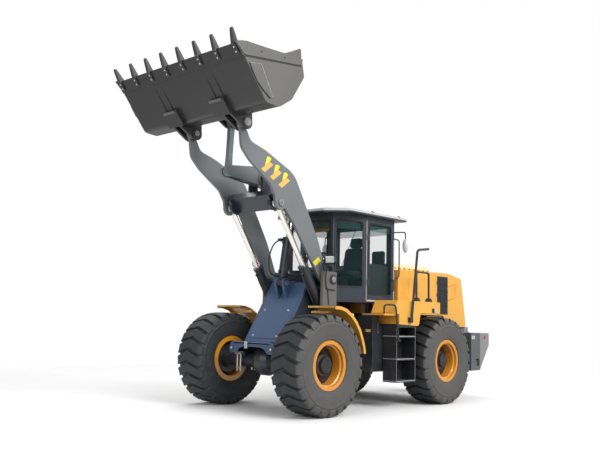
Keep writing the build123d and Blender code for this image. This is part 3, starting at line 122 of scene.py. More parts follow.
def addFloor(half=40.0, fadeFrom=6.0, fadeTo=12.0):
    mesh = bpy.data.meshes.new("floor")
    bm = bmesh.new()
    bmesh.ops.create_grid(bm, x_segments=1, y_segments=1, size=half)
    bm.to_mesh(mesh)
    bm.free()
    floor = bpy.data.objects.new("floor", mesh)
    bpy.context.scene.collection.objects.link(floor)
    material = bpy.data.materials.new("floorPale")
    material.use_nodes = True
    tree = material.node_tree
    shader = tree.nodes["Principled BSDF"]
    path = tree.nodes.new("ShaderNodeLightPath")
    seen = mathNode(tree, "MAXIMUM", path.outputs["Is Camera Ray"], path.outputs["Is Glossy Ray"])
    seen = mathNode(tree, "MAXIMUM", seen, path.outputs["Is Transmission Ray"])
    tree.links.new(mixColour(tree, seen, (0.30, 0.30, 0.31, 1), (0.96, 0.96, 0.96, 1)),
                   shader.inputs["Base Color"])
    shader.inputs["Roughness"].default_value = 0.9
    reach = tree.nodes.new("ShaderNodeVectorMath")
    reach.operation = "LENGTH"
    tree.links.new(tree.nodes.new("ShaderNodeTexCoord").outputs["Object"], reach.inputs[0])
    away = rampNode(tree, reach.outputs["Value"], fadeFrom, fadeTo)
    clear = tree.nodes.new("ShaderNodeBsdfTransparent")
    mix = tree.nodes.new("ShaderNodeMixShader")
    tree.links.new(away, mix.inputs["Fac"])
    tree.links.new(shader.outputs["BSDF"], mix.inputs[1])
    tree.links.new(clear.outputs["BSDF"], mix.inputs[2])
    tree.links.new(mix.outputs["Shader"], tree.nodes["Material Output"].inputs["Surface"])
    mesh.materials.append(material)


# shader helpers

def mathNode(tree, operation, a, b=None, clamp=False):
    node = tree.nodes.new("ShaderNodeMath")
    node.operation = operation
    node.use_clamp = clamp
    for index, value in enumerate((a, b)):
        if value is None:
            continue
        if isinstance(value, (int, float)):
            node.inputs[index].default_value = value
        else:
            tree.links.new(value, node.inputs[index])
    return node.outputs[0]


def noiseNode(tree, coordinates, scale, detail=4.0, roughness=0.55):
    node = tree.nodes.new("ShaderNodeTexNoise")
    tree.links.new(coordinates, node.inputs["Vector"])
    node.inputs["Detail"].default_value = detail
    node.inputs["Roughness"].default_value = roughness
    if isinstance(scale, (int, float)):
        node.inputs["Scale"].default_value = scale
    else:
        tree.links.new(scale, node.inputs["Scale"])
    return node.outputs["Fac"]


def rampNode(tree, value, low, high):
    node = tree.nodes.new("ShaderNodeMapRange")
    node.interpolation_type = "SMOOTHSTEP"
    node.inputs["From Min"].default_value = low
    node.inputs["From Max"].default_value = high
    tree.links.new(value, node.inputs["Value"])
    return node.outputs["Result"]


def mixColour(tree, share, a, b, mode="MIX"):
    node = tree.nodes.new("ShaderNodeMix")
    node.data_type = "RGBA"
    node.blend_type = mode
    for name, value in (("Factor", share), ("A", a), ("B", b)):
        target = [entry for entry in node.inputs if entry.name == name and entry.enabled][0]
        if isinstance(value, (int, float, tuple)):
            target.default_value = value
        else:
            tree.links.new(value, target)
    return [entry for entry in node.outputs if entry.enabled][0]


def placeOf(tree):
    return tree.nodes.new("ShaderNodeTexCoord").outputs["Object"]


def zoneMask(tree, direction, low, high, absolute=False, soft=0.002):
    # share of the surface between two parallel planes
    dot = tree.nodes.new("ShaderNodeVectorMath")
    dot.operation = "DOT_PRODUCT"
    tree.links.new(placeOf(tree), dot.inputs[0])
    dot.inputs[1].default_value = direction
    value = dot.outputs["Value"]
    if absolute:
        value = mathNode(tree, "ABSOLUTE", value)
    over = rampNode(tree, value, low - soft, low + soft)
    under = rampNode(tree, value, high + soft, high - soft)
    return mathNode(tree, "MULTIPLY", over, under)


def addSocket(tree, name, kind, direction="INPUT", value=None):
    item = tree.interface.new_socket(name, in_out=direction, socket_type=kind)
    if value is not None:
        item.default_value = value


def surfaceGroup():
    tree = bpy.data.node_groups.new("paintedSurface", "ShaderNodeTree")
    addSocket(tree, "Base", "NodeSocketColor")
    addSocket(tree, "Dust Colour", "NodeSocketColor", value=(0.36, 0.32, 0.27, 1))
    addSocket(tree, "Edge Colour", "NodeSocketColor", value=(0.3, 0.3, 0.3, 1))
    addSocket(tree, "Patch Amount", "NodeSocketFloat", value=0.1)
    addSocket(tree, "Dust Amount", "NodeSocketFloat", value=0.08)
    addSocket(tree, "Edge Amount", "NodeSocketFloat", value=0.3)
    addSocket(tree, "Roughness", "NodeSocketFloat", value=0.4)
    addSocket(tree, "Grain Depth", "NodeSocketFloat", value=0.1)
    addSocket(tree, "Grain Scale", "NodeSocketFloat", value=250.0)
    addSocket(tree, "Colour", "NodeSocketColor", "OUTPUT")
    addSocket(tree, "Roughness", "NodeSocketFloat", "OUTPUT")
    addSocket(tree, "Normal", "NodeSocketVector", "OUTPUT")
    given = tree.nodes.new("NodeGroupInput").outputs
    result = tree.nodes.new("NodeGroupOutput").inputs
    place = placeOf(tree)
    patches = noiseNode(tree, place, 1.3, 3.0, 0.5)       # broad changes of shade
    shade = mathNode(tree, "MULTIPLY", mathNode(tree, "SUBTRACT", patches, 0.5), given["Patch Amount"])
    lighter = tree.nodes.new("ShaderNodeHueSaturation")
    tree.links.new(mathNode(tree, "ADD", shade, 1.0), lighter.inputs["Value"])
    tree.links.new(given["Base"], lighter.inputs["Color"])
    height = tree.nodes.new("ShaderNodeSeparateXYZ")
    tree.links.new(place, height.inputs[0])
    low = rampNode(tree, height.outputs["Z"], 1.9, 0.1)   # dust settles near the ground
    speckle = rampNode(tree, noiseNode(tree, place, 7.0, 7.0, 0.65), 0.35, 0.75)
    dust = mathNode(tree, "MULTIPLY", mathNode(tree, "MULTIPLY", speckle, low), given["Dust Amount"], True)
    dusty = mixColour(tree, dust, lighter.outputs["Color"], given["Dust Colour"])
    bevel = tree.nodes.new("ShaderNodeBevel")
    bevel.samples = 3
    bevel.inputs["Radius"].default_value = 0.007
    bend = tree.nodes.new("ShaderNodeVectorMath")
    bend.operation = "DOT_PRODUCT"
    tree.links.new(bevel.outputs["Normal"], bend.inputs[0])
    tree.links.new(tree.nodes.new("ShaderNodeNewGeometry").outputs["Normal"], bend.inputs[1])
    edge = rampNode(tree, bend.outputs["Value"], 0.985, 0.90)
    broken = rampNode(tree, noiseNode(tree, place, 14.0, 6.0, 0.6), 0.40, 0.60)
    wear = mathNode(tree, "MULTIPLY", mathNode(tree, "MULTIPLY", edge, broken), given["Edge Amount"], True)
    tree.links.new(mixColour(tree, wear, dusty, given["Edge Colour"]), result["Colour"])
    dulling = mathNode(tree, "MULTIPLY", mathNode(tree, "ADD", dust, shade), 0.4)
    tree.links.new(mathNode(tree, "ADD", given["Roughness"], dulling, True), result["Roughness"])
    bump = tree.nodes.new("ShaderNodeBump")
    bump.inputs["Distance"].default_value = 0.002
    tree.links.new(given["Grain Depth"], bump.inputs["Strength"])
    tree.links.new(noiseNode(tree, place, given["Grain Scale"], 2.0, 0.5), bump.inputs["Height"])
    tree.links.new(bevel.outputs["Normal"], bump.inputs["Normal"])
    tree.links.new(bump.outputs["Normal"], result["Normal"])
    return tree


paintedSurface = surfaceGroup()


def newFinish(name, base, roughness=0.4, metallic=0.0, coat=0.0, zones=(), **amounts):
    material = bpy.data.materials.new(name)
    material.use_nodes = True
    tree = material.node_tree
    shader = tree.nodes["Principled BSDF"]
    group = tree.nodes.new("ShaderNodeGroup")
    group.node_tree = paintedSurface
    colour = (*base, 1)
    group.inputs["Base"].default_value = colour
    for masks, other in zones:                            # a second paint inside a zone of the piece
        share = None
        for settings in masks:
            mask = zoneMask(tree, **settings)
            share = mask if share is None else mathNode(tree, "MULTIPLY", share, mask)
        colour = mixColour(tree, share, colour, (*other, 1))
        tree.links.new(colour, group.inputs["Base"])
    group.inputs["Roughness"].default_value = roughness
    for key, value in amounts.items():
        words = {"patch": "Patch Amount", "dust": "Dust Amount", "edge": "Edge Amount",
                 "edgeColour": "Edge Colour",
                 "dustColour": "Dust Colour", "grain": "Grain Depth", "grainScale": "Grain Scale"}
        group.inputs[words[key]].default_value = (*value, 1) if isinstance(value, tuple) else value
    tree.links.new(group.outputs["Colour"], shader.inputs["Base Color"])
    tree.links.new(group.outputs["Roughness"], shader.inputs["Roughness"])
    tree.links.new(group.outputs["Normal"], shader.inputs["Normal"])
    shader.inputs["Metallic"].default_value = metallic
    shader.inputs["Coat Weight"].default_value = coat
    shader.inputs["Coat Roughness"].default_value = 0.12
    material.diffuse_color = (*base, 1)
    return material


def newGlass(name, tint, alpha, bandAlpha=None, bandFrom=None):
    material = bpy.data.materials.new(name)
    material.use_nodes = True
    tree = material.node_tree
    shader = tree.nodes["Principled BSDF"]
    shader.inputs["Base Color"].default_value = (*tint, 1)
    shader.inputs["Roughness"].default_value = 0.03
    shader.inputs["IOR"].default_value = 1.45
    shader.inputs["Alpha"].default_value = alpha
    if bandAlpha is not None:                             # darker sun band along the top
        height = tree.nodes.new("ShaderNodeSeparateXYZ")
        tree.links.new(placeOf(tree), height.inputs[0])
        band = tree.nodes.new("ShaderNodeMapRange")
        band.inputs["From Min"].default_value = bandFrom - 0.01
        band.inputs["From Max"].default_value = bandFrom + 0.01
        band.inputs["To Min"].default_value = alpha
        band.inputs["To Max"].default_value = bandAlpha
        tree.links.new(height.outputs["Z"], band.inputs["Value"])
        tree.links.new(band.outputs["Result"], shader.inputs["Alpha"])
    material.diffuse_color = (*tint, alpha)
    return material


addCamera(cameraSettings)
addWorld(0.5)
for lightName, lightSettings in studioLights.items():
    addAreaLight(lightName, lightSettings)
addFloor()
bpy.context.scene.view_settings.view_transform = "Standard"
print("stage done")

# paints and other finishes
armGrey = (0.175, 0.19, 0.198)
navyDark = (0.022, 0.029, 0.042)
plateBlue = (0.052, 0.098, 0.20)
slopeNormal = (0.851, 0.0, 0.525)          # front plate: its outward direction, its foot and its lean
slopeFoot, slopeLean = (0.130, 1.095), 0.617
slopeFace = slopeNormal[0] * (axleX + slopeFoot[0]) + slopeNormal[2] * slopeFoot[1]

finishes = {
    "body_yellow": newFinish("bodyYellow", (0.90, 0.455, 0.060), 0.30, coat=0.5, patch=0.10, edge=0.12,
                             grain=0.03, edgeColour=(0.95, 0.72, 0.40)),
    "rim_yellow": newFinish("rimYellow", (0.78, 0.31, 0.018), 0.32, coat=0.5, patch=0.15, dust=0.06,
                            edge=0.25, edgeColour=(0.95, 0.60, 0.25), grain=0.04),
    "boom_grey": newFinish("boomGrey", armGrey, 0.38, coat=0.25, patch=0.16, edge=0.5, grain=0.05,
                           edgeColour=(0.34, 0.35, 0.36)),
    "boom_two_tone": newFinish("boomTwoTone", armGrey, 0.38, coat=0.25, patch=0.16, edge=0.4, grain=0.05,
                               edgeColour=(0.34, 0.35, 0.36), zones=[
                                   ([{"direction": (0, 1, 0), "low": -1, "high": 0.572, "absolute": True}],
                                    navyDark)]),
    "bucket_grey": newFinish("bucketGrey", (0.036, 0.035, 0.035), 0.40, coat=0.2, patch=0.3, edge=0.4,
                             grain=0.08, edgeColour=(0.2, 0.2, 0.2), zones=[
                                 # painted light: the outer faces of the side plates get a lighter, lit copy
                                 # of the dark bucket grey
                                 ([{"direction": (0, 1, 0), "low": 1.452, "high": 1.6, "absolute": True}],
                                  (0.125, 0.122, 0.120)),
                                 ([{"direction": (0, 1, 0), "low": 1.476, "high": 1.6, "absolute": True},
                                   {"direction": (1, 0, 0), "low": axleX + 1.730, "high": axleX + 1.760},
                                   {"direction": (0, 0, 1), "low": 5.247, "high": 5.277}],
                                  (0.01, 0.01, 0.01)),
                                 ([{"direction": (0, 1, 0), "low": 1.476, "high": 1.6, "absolute": True},
                                   {"direction": (1, 0, 0), "low": axleX + 1.251, "high": axleX + 1.281},
                                   {"direction": (0, 0, 1), "low": 5.290, "high": 5.320}],
                                  (0.01, 0.01, 0.01))]),
    "frame_blue": newFinish("frameBlue", navyDark, 0.38, coat=0.3, patch=0.2, edge=0.35, grain=0.05,
                            edgeColour=(0.2, 0.23, 0.27), zones=[
                                ([{"direction": slopeNormal, "low": slopeFace - 0.035, "high": 9.0},
                                  {"direction": (0, 1, 0), "low": -1, "high": 0.432, "absolute": True},
                                  {"direction": (0, 0, 1), "low": 1.0, "high": 3.0}], plateBlue),
                                ([{"direction": (0, 1, 0), "low": 0.655, "high": 0.716, "absolute": True}],
                                 (0.155, 0.15, 0.148))]),
    "steel_dark": newFinish("steelDark", (0.02, 0.024, 0.032), 0.40, coat=0.2, patch=0.2, edge=0.3,
                            grain=0.06, edgeColour=(0.18, 0.19, 0.2)),
    "weight_grey": newFinish("weightGrey", (0.105, 0.112, 0.128), 0.5, patch=0.2, edge=0.4, grain=0.2, zones=[
        ([{"direction": (1, 0, 0), "low": -6.0, "high": axleX - 4.90}], (0.26, 0.26, 0.27))],
                             grainScale=120.0, edgeColour=(0.3, 0.31, 0.32)),
    "tyre_rubber": newFinish("tyreRubber", (0.026, 0.029, 0.034), 0.62, patch=0.25, dust=0.25, edge=0.3,
                             grain=0.3,
                             # painted light: the outer sidewall and lug shoulders, which face the key light,
                             # get a lighter copy of the rubber
                             zones=[([{"direction": (0, 1, 0), "low": 1.378, "high": 1.6, "absolute": True,
                                       "soft": 0.012}], (0.085, 0.084, 0.080))],
                             grainScale=140.0, edgeColour=(0.2, 0.195, 0.185),
                             dustColour=(0.16, 0.155, 0.145)),
    "chrome_rod": newFinish("chromeRod", (0.80, 0.77, 0.72), 0.14, 1.0, patch=0.06, dust=0.0, edge=0.0,
                            grain=0.01),
    "cab_dark": newFinish("cabDark", (0.030, 0.038, 0.055), 0.30, coat=0.4, patch=0.12, edge=0.3, grain=0.03,
                          edgeColour=(0.28, 0.3, 0.33)),
    "roof_pale": newFinish("roofPale", (0.026, 0.030, 0.040), 0.4, coat=0.2, patch=0.1, edge=0.1, grain=0.03,
                           zones=[
        ([{"direction": (0, 0, 1), "low": 3.358, "high": 4.0}], (0.60, 0.61, 0.63))]),
    "trim_black": newFinish("trimBlack", (0.018, 0.02, 0.025), 0.45, patch=0.2, edge=0.3, grain=0.12,
                            edgeColour=(0.2, 0.2, 0.21)),
    "seat_fabric": newFinish("seatFabric", (0.012, 0.024, 0.026), 0.9, edge=0.0, grain=0.5, grainScale=500.0),
    "pin_steel": newFinish("pinSteel", (0.42, 0.42, 0.42), 0.35, 0.8, patch=0.2, edge=0.3, grain=0.05),
    "bright_bolt": newFinish("brightBolt", (0.62, 0.61, 0.58), 0.35, 0.7, patch=0.1, edge=0.2, grain=0.05),
    "hub_black": newFinish("hubBlack", (0.012, 0.013, 0.014), 0.5, patch=0.3, edge=0.5, grain=0.15,
                           edgeColour=(0.12, 0.11, 0.10)),
    "mark_yellow": newFinish("markYellow", (0.92, 0.80, 0.04), 0.4, patch=0.05, edge=0.0, grain=0.02),
    "mark_amber": newFinish("markAmber", (0.86, 0.52, 0.13), 0.4, patch=0.05, edge=0.0, grain=0.02),
    "plug_red": newFinish("plugRed", (0.35, 0.01, 0.015), 0.4, patch=0.05, edge=0.0, grain=0.02),
    "plate_blue": newFinish("plateBlue", plateBlue, 0.35, coat=0.3, patch=0.15, edge=0.4, grain=0.04,
                            edgeColour=(0.25, 0.33, 0.48)),
    "plate_navy": newFinish("plateNavy", (0.035, 0.06, 0.115), 0.4, coat=0.2, patch=0.2, edge=0.5, grain=0.06,
                            edgeColour=(0.2, 0.25, 0.35)),
    "edge_light": newFinish("edgeLight", (0.16, 0.16, 0.16), 0.45, patch=0.2, edge=0.3, grain=0.06),
    "tooth_steel": newFinish("toothSteel", (0.055, 0.055, 0.055), 0.45, patch=0.2, edge=0.7, grain=0.12,
                             edgeColour=(0.45, 0.45, 0.45)),
    "seal_black": newFinish("sealBlack", (0.012, 0.013, 0.015), 0.6, patch=0.1, edge=0.1, grain=0.1),
    "edge_pale": newFinish("edgePale", (0.50, 0.50, 0.50), 0.4, patch=0.1, edge=0.1, grain=0.03),
    "side_steel": newFinish("sideSteel", (0.12, 0.118, 0.115), 0.42, patch=0.2, edge=0.3, grain=0.06),
    "cab_lining": newFinish("cabLining", (0.008, 0.014, 0.015), 0.7, patch=0.1, edge=0.1, grain=0.3),
    "visor_amber": newFinish("visorAmber", (0.30, 0.17, 0.035), 0.5, patch=0.3, edge=0.0, grain=0.1),
    "mesh_grey": newFinish("meshGrey", (0.05, 0.055, 0.06), 0.5, patch=0.1, edge=0.0, grain=0.05),
    "seam_brown": newFinish("seamBrown", (0.16, 0.09, 0.04), 0.5, patch=0.2, edge=0.0, grain=0.1),
    "lens_red": newFinish("lensRed", (0.45, 0.01, 0.01), 0.15, coat=0.6, patch=0.1, edge=0.0, grain=0.02),
    "lens_amber": newFinish("lensAmber", (0.75, 0.22, 0.01), 0.15, coat=0.6, patch=0.1, edge=0.0, grain=0.02),
    "fitting_pale": newFinish("fittingPale", (0.60, 0.50, 0.40), 0.3, 0.85, patch=0.3, edge=0.2, grain=0.05),
    "lamp_white": newFinish("lampWhite", (0.75, 0.75, 0.78), 0.2, coat=0.6, patch=0.1, edge=0.1, grain=0.02),
    "glass_teal": newGlass("glassTeal", (0.035, 0.11, 0.12), 0.07, 0.38, 3.08)}
nodeFinish = {"boom": "boom_two_tone", "crank": "boom_grey", "cab_roof": "roof_pale"}

for node, obj in nodes.items():
    for holder in obj.material_slots:
        holder.link = "OBJECT"
        holder.material = finishes[nodeFinish.get(node, slotOf[node])]
print("finishes done")


# builders shared by the added pieces

def finishPiece(name, bm, body, finish, smooth=False):
    bmesh.ops.recalc_face_normals(bm, faces=bm.faces)
    mesh = bpy.data.meshes.new(name)
    bm.to_mesh(mesh)
    bm.free()
    if smooth:
        mesh.shade_smooth()
        mesh.set_sharp_from_angle(angle=math.radians(35))
    mesh.materials.append(finishes[finish])
    piece = bpy.data.objects.new(name, mesh)
    bpy.context.scene.collection.objects.link(piece)
    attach(piece, body)
    return piece


def bevelEdges(bm, edges, offset, segments=1):
    if offset > 0 and edges:
        bmesh.ops.bevel(bm, geom=edges, affect="EDGES", offset=offset, segments=segments, profile=0.5,
                        material=-1, clamp_overlap=True)


def unique(items):
    # each item once, in the order it came
    return list(dict.fromkeys(items))


def facesAt(verts):
    return unique(face for vert in verts for face in vert.link_faces)


def edgesAt(verts):
    return unique(edge for vert in verts for edge in vert.link_edges)


def edgesOf(faces):
    return unique(edge for face in faces for edge in face.edges)


def ofKind(items, kind):
    return [item for item in items if isinstance(item, kind)]


def sharpEdges(faces, angle=0.6):
    return [edge for edge in edgesOf(faces) if len(edge.link_faces) == 2 and edge.calc_face_angle(0) > angle]


def addBlock(bm, low, high, bevel=0.003, matrix=None):
    middle = (Vector(low) + Vector(high)) / 2
    size = [abs(high[i] - low[i]) for i in range(3)]
    place = Matrix.Translation(middle) @ Matrix.Diagonal((*size, 1))
    made = bmesh.ops.create_cube(bm, size=1.0, matrix=matrix @ place if matrix else place)
    bevelEdges(bm, sharpEdges(facesAt(made["verts"])), bevel)


def addBlocks(bm, blocks):
    # bars and boxes given by two opposite corners and a bevel
    for low, high, bevel in blocks:
        addBlock(bm, at(*low), at(*high), bevel)


def blocksOf(*blocks):
    # builder of a piece that is blocks alone
    def build(bm):
        addBlocks(bm, blocks)
    return build


def towards(direction):
    return Vector(direction).to_track_quat("Z", "Y").to_matrix().to_4x4()


def addDisc(bm, centre, direction, radius, depth, segments=28, bevel=0.002, tip=None):
    # round or six-sided bar that starts at its centre and runs along a direction
    middle = Vector(centre) + Vector(direction).normalized() * depth / 2
    place = Matrix.Translation(middle) @ towards(direction)
    made = bmesh.ops.create_cone(bm, cap_ends=True, segments=segments, radius1=radius,
                                 radius2=radius if tip is None else tip, depth=depth, matrix=place)
    bevelEdges(bm, edgesOf(face for face in facesAt(made["verts"]) if len(face.verts) > 4), bevel)


def addBolt(bm, centre, direction, radius):
    # washer and six-sided head
    step = Vector(direction).normalized()
    addDisc(bm, centre, direction, radius * 1.35, radius * 0.3, 20, radius * 0.08)
    addDisc(bm, Vector(centre) + step * radius * 0.3, direction, radius, radius * 0.75, 6, radius * 0.12)


def addSpin(bm, profile, centre, steps=64):
    # turn a line of (along the axle, radius) about an axle that runs left
    verts = [bm.verts.new((centre[0], centre[1] + along, centre[2] + radius)) for along, radius in profile]
    edges = [bm.edges.new(pair) for pair in zip(verts, verts[1:])]
    bmesh.ops.spin(bm, geom=verts + edges, cent=centre, axis=(0, 1, 0), angle=math.tau, steps=steps,
                   use_merge=True)
    bmesh.ops.remove_doubles(bm, verts=bm.verts, dist=0.00005)


def addPlate(bm, corners, step, bevel=0.0):
    # flat outline of points in space, thickened by a step, or by a distance along its own normal
    face = bm.faces.new([bm.verts.new(corner) for corner in corners])
    face.normal_update()
    step = face.normal * step if isinstance(step, float) else Vector(step)
    made = bmesh.ops.extrude_face_region(bm, geom=[face], use_keep_orig=True)
    bmesh.ops.translate(bm, vec=step, verts=ofKind(made["geom"], bmesh.types.BMVert))
    if bevel:
        bevelEdges(bm, edgesOf(ofKind(made["geom"], bmesh.types.BMFace)), bevel)


def bothSides(name, build, body, finish, smooth=False):
    # the piece on the left and its mirror image on the right
    bm = bmesh.new()
    build(bm)
    bmesh.ops.mirror(bm, geom=bm.verts[:] + bm.edges[:] + bm.faces[:], axis="Y", merge_dist=-1.0)
    return finishPiece(name, bm, body, finish, smooth)


def oneSide(name, build, body, finish, smooth=False):
    bm = bmesh.new()
    build(bm)
    return finishPiece(name, bm, body, finish, smooth)


def addTube(name, points, radius, body, finish):
    curve = bpy.data.curves.new(name, "CURVE")
    curve.dimensions = "3D"
    curve.bevel_depth = radius
    curve.bevel_resolution = 3
    curve.resolution_u = 6
    curve.use_fill_caps = True
    line = curve.splines.new("NURBS")
    line.points.add(len(points) - 1)
    for point, place in zip(line.points, points):
        point.co = (*place, 1)
    line.order_u = 3
    line.use_endpoint_u = True
    curve.materials.append(finishes[finish])
    tube = bpy.data.objects.new(name, curve)
    bpy.context.scene.collection.objects.link(tube)
    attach(tube, body)
    return tube


# tyres: ribbed carcass and continuous arrow-shaped lugs that lap over the shoulders
tyreShape = {
    "radius": 0.785, "lugs": 24, "steps": 96,
    "carcass": [(0.232, 0.346), (0.233, 0.386), (0.252, 0.392), (0.266, 0.402), (0.272, 0.412),
                (0.270, 0.420), (0.276, 0.436), (0.286, 0.480), (0.292, 0.540), (0.2935, 0.585),
                (0.2915, 0.625), (0.294, 0.632), (0.294, 0.642), (0.289, 0.649), (0.282, 0.690),
                (0.266, 0.722), (0.235, 0.738), (0.180, 0.743), (0.0, 0.744)],
    "across": [0.0, 0.05, 0.11, 0.17, 0.215, 0.25, 0.272, 0.284, 0.291],
    "top": [0.7845, 0.7845, 0.7842, 0.783, 0.780, 0.773, 0.760, 0.735, 0.688],
    "base": [0.735, 0.735, 0.734, 0.733, 0.730, 0.722, 0.705, 0.680, 0.660],
    "rise": 0.105, "halfLug": 0.069, "draft": 0.010, "bevel": 0.006}


def buildLug(bm, shape):
    spans = len(shape["across"]) - 1
    columns = [-value for value in reversed(shape["across"][1:])] + shape["across"]
    made = bmesh.ops.create_grid(bm, x_segments=2 * spans, y_segments=2, size=0.5)
    solid = bmesh.ops.extrude_face_region(bm, geom=facesAt(made["verts"]), use_keep_orig=True)
    tops = ofKind(solid["geom"], bmesh.types.BMVert)
    for vert in list(made["verts"]) + tops:
        column, row = round((vert.co.x + 0.5) * 2 * spans), round(vert.co.y * 2)
        isTop = vert in tops
        step = abs(column - spans)
        across = columns[column]
        slant = shape["rise"] * (abs(across) / shape["across"][-1] - 0.5)
        half = shape["halfLug"] + (0 if isTop else shape["draft"])
        around = slant + row * half
        radius = shape["top"][step] if isTop else shape["base"][step]
        angle = around / shape["radius"]
        inset = 0 if isTop or step < spans else -0.006 * math.copysign(1, across)
        vert.co = Vector((radius * math.sin(angle), across + inset, radius * math.cos(angle)))
    topFaces = ofKind(solid["geom"], bmesh.types.BMFace)
    rim = [edge for face in topFaces for edge in face.edges
           if sum(other in topFaces for other in edge.link_faces) == 1]
    bevelEdges(bm, rim, shape["bevel"])


def buildTyre(shape):
    bm = bmesh.new()
    buildLug(bm, shape)
    bmesh.ops.spin(bm, geom=bm.verts[:] + bm.edges[:] + bm.faces[:], cent=(0, 0, 0), axis=(0, 1, 0),
                   angle=math.tau * (shape["lugs"] - 1) / shape["lugs"], steps=shape["lugs"] - 1,
                   use_duplicate=True)
    profile = shape["carcass"] + [(-along, radius) for along, radius in reversed(shape["carcass"][:-1])]
    addSpin(bm, profile, (0, 0, 0), shape["steps"])
    return bm


wheelPlaces = {                # wheel: its middle along the machine, and its side
    "front_left": (axleX, 1), "front_right": (axleX, -1),
    "rear_left": (rearAxleX, 1), "rear_right": (rearAxleX, -1)}


def placeWheelPiece(name, source, wheel, finish, smooth=True):
    x, side = wheelPlaces[wheel]
    bm = source.copy()
    if side < 0:
        bmesh.ops.scale(bm, vec=(1, -1, 1), verts=bm.verts)
    bmesh.ops.translate(bm, vec=(x, side * wheelY, axleZ), verts=bm.verts)
    return finishPiece(name + "_" + wheel, bm, "wheel_" + wheel, finish, smooth)


tyreMesh = buildTyre(tyreShape)
for wheel in wheelPlaces:
    piece = placeWheelPiece("tyreWithLugs", tyreMesh, wheel, "tyre_rubber")
    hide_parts("tyre_" + wheel)
tyreMesh.free()

# dark hub cover with its ring of nuts, inside each dished rim
hubShape = {
    "cover": [(0.045, 0.299), (0.045, 0.194), (0.122, 0.169), (0.134, 0.134), (0.184, 0.119), (0.186, 0.0)],
    "inner": [(-0.004, 0.299), (-0.004, 0.214), (-0.016, 0.214)],
    "nuts": 16, "nutCircle": 0.246, "nutRadius": 0.014, "capBolts": 8, "capCircle": 0.085}


def buildHub(shape):
    bm = bmesh.new()
    addSpin(bm, shape["cover"], (0, 0, 0), 48)
    addSpin(bm, shape["inner"], (0, 0, 0), 48)
    for count, circle, along, radius in (
            (shape["nuts"], shape["nutCircle"], 0.044, shape["nutRadius"]),
            (shape["capBolts"], shape["capCircle"], 0.185, 0.007)):
        for i in range(count):
            angle = math.tau * (i + 0.5) / count
            addBolt(bm, (circle * math.sin(angle), along, circle * math.cos(angle)), (0, 1, 0), radius)
    return bm


hubMesh = buildHub(hubShape)
for wheel in wheelPlaces:
    placeWheelPiece("hubCover", hubMesh, wheel, "hub_black")
hubMesh.free()
print("wheels done")

# front fenders: bent sheet with a folded lip outside and in front, and its bracket
fenderShape = {
    "line": [(-0.085, 1.700), (-0.22, 1.696), (-0.36, 1.660), (-0.50, 1.580), (-0.62, 1.472), (-0.72, 1.337),
             (-0.79, 1.192), (-0.838, 1.060), (-0.856, 0.960)],
    "inner": 0.81, "outer": 1.40, "sheet": 0.008, "lip": 0.050, "reach": 0.9, "hem": (-0.012, 0, -0.032),
    "bars": [(-0.30, 1.640), (-0.70, 1.325)], "barY": (0.7155, 1.10)}


def buildFender(bm):
    line, wide = fenderShape["line"], fenderShape["outer"] - fenderShape["inner"]
    verts = [bm.verts.new(at(x, fenderShape["inner"], z)) for x, z in line]
    edges = [bm.edges.new(pair) for pair in zip(verts, verts[1:])]
    made = bmesh.ops.extrude_edge_only(bm, edges=edges)["geom"]
    outer = ofKind(made, bmesh.types.BMVert)
    bmesh.ops.translate(bm, vec=(0, wide, 0), verts=outer)
    outerEdges = [edge for edge in ofKind(made, bmesh.types.BMEdge)
                  if all(vert in outer for vert in edge.verts)]
    folded = bmesh.ops.extrude_edge_only(bm, edges=outerEdges)["geom"]
    share = 1 - fenderShape["lip"] / fenderShape["reach"]
    middle = at(0, fenderShape["outer"], axleZ)
    bmesh.ops.scale(bm, vec=(share, 1, share), space=Matrix.Translation(-middle),
                    verts=ofKind(folded, bmesh.types.BMVert))
    front = [edge for edge in verts[0].link_edges if edge.other_vert(verts[0]) in outer]
    hem = bmesh.ops.extrude_edge_only(bm, edges=front)["geom"]
    bmesh.ops.translate(bm, vec=fenderShape["hem"], verts=ofKind(hem, bmesh.types.BMVert))
    bmesh.ops.recalc_face_normals(bm, faces=bm.faces)
    bmesh.ops.solidify(bm, geom=bm.faces[:], thickness=fenderShape["sheet"])
    for x, z in fenderShape["bars"]:
        inner, outer = fenderShape["barY"]
        addBlock(bm, at(x - 0.05, inner, z - 0.055), at(x + 0.03, outer, z - 0.018), 0.004)


fenders = bothSides("frontFenders", buildFender, "front_frame", "body_yellow")
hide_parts("front_fenders")


# front plate: bolted cover, weld beads down its edges, and the arched yoke over the axle
coverShape = {"half": 0.318, "low": 1.150, "high": 1.790, "thick": 0.007, "boltY": 0.275,
              "boltZ": (1.19, 1.62), "boltRadius": 0.015}
weldShape = {"edge": 0.407, "low": 1.12, "high": 2.07, "count": 40, "radius": 0.012, "sunk": 0.004,
             "tall": 0.011}
yokeShape = {
    "face": 0.351, "depth": 0.022,           # thin enough for the lowered arms to pass
    "line": [(0.0, 1.016), (0.20, 1.016), (0.30, 0.985), (0.36, 0.915), (0.50, 0.905), (0.545, 0.965),
             (0.50, 1.075), (0.45, 1.100), (0.0, 1.100)],
    "shelf": ((0.10, -0.42, 1.0605), (0.373, 0.42, 1.085), 0.004), "bossSpot": (0.462, 0.990),
    "boss": (0.042, 0.008), "pin": (0.024, 0.013), "block": ((-0.150, 0.985), (-0.085, 1.098))}
axleBoltShape = {
    "x": (-0.17, 0.17), "y": (0.455, 0.535), "low": 0.60, "nut": 0.665, "radius": 0.017, "length": 0.275,
    "nutRadius": 0.025, "bridge": ((-0.21, 0.431, 0.873), (0.21, 0.57, 0.915), 0.006)}


def onSlope(y, z, out=0.0):
    # place on the front plate at a height, or out from it
    return at(slopeFoot[0] - slopeLean * (z - slopeFoot[1]) + slopeNormal[0] * out, y,
              z + slopeNormal[2] * out)


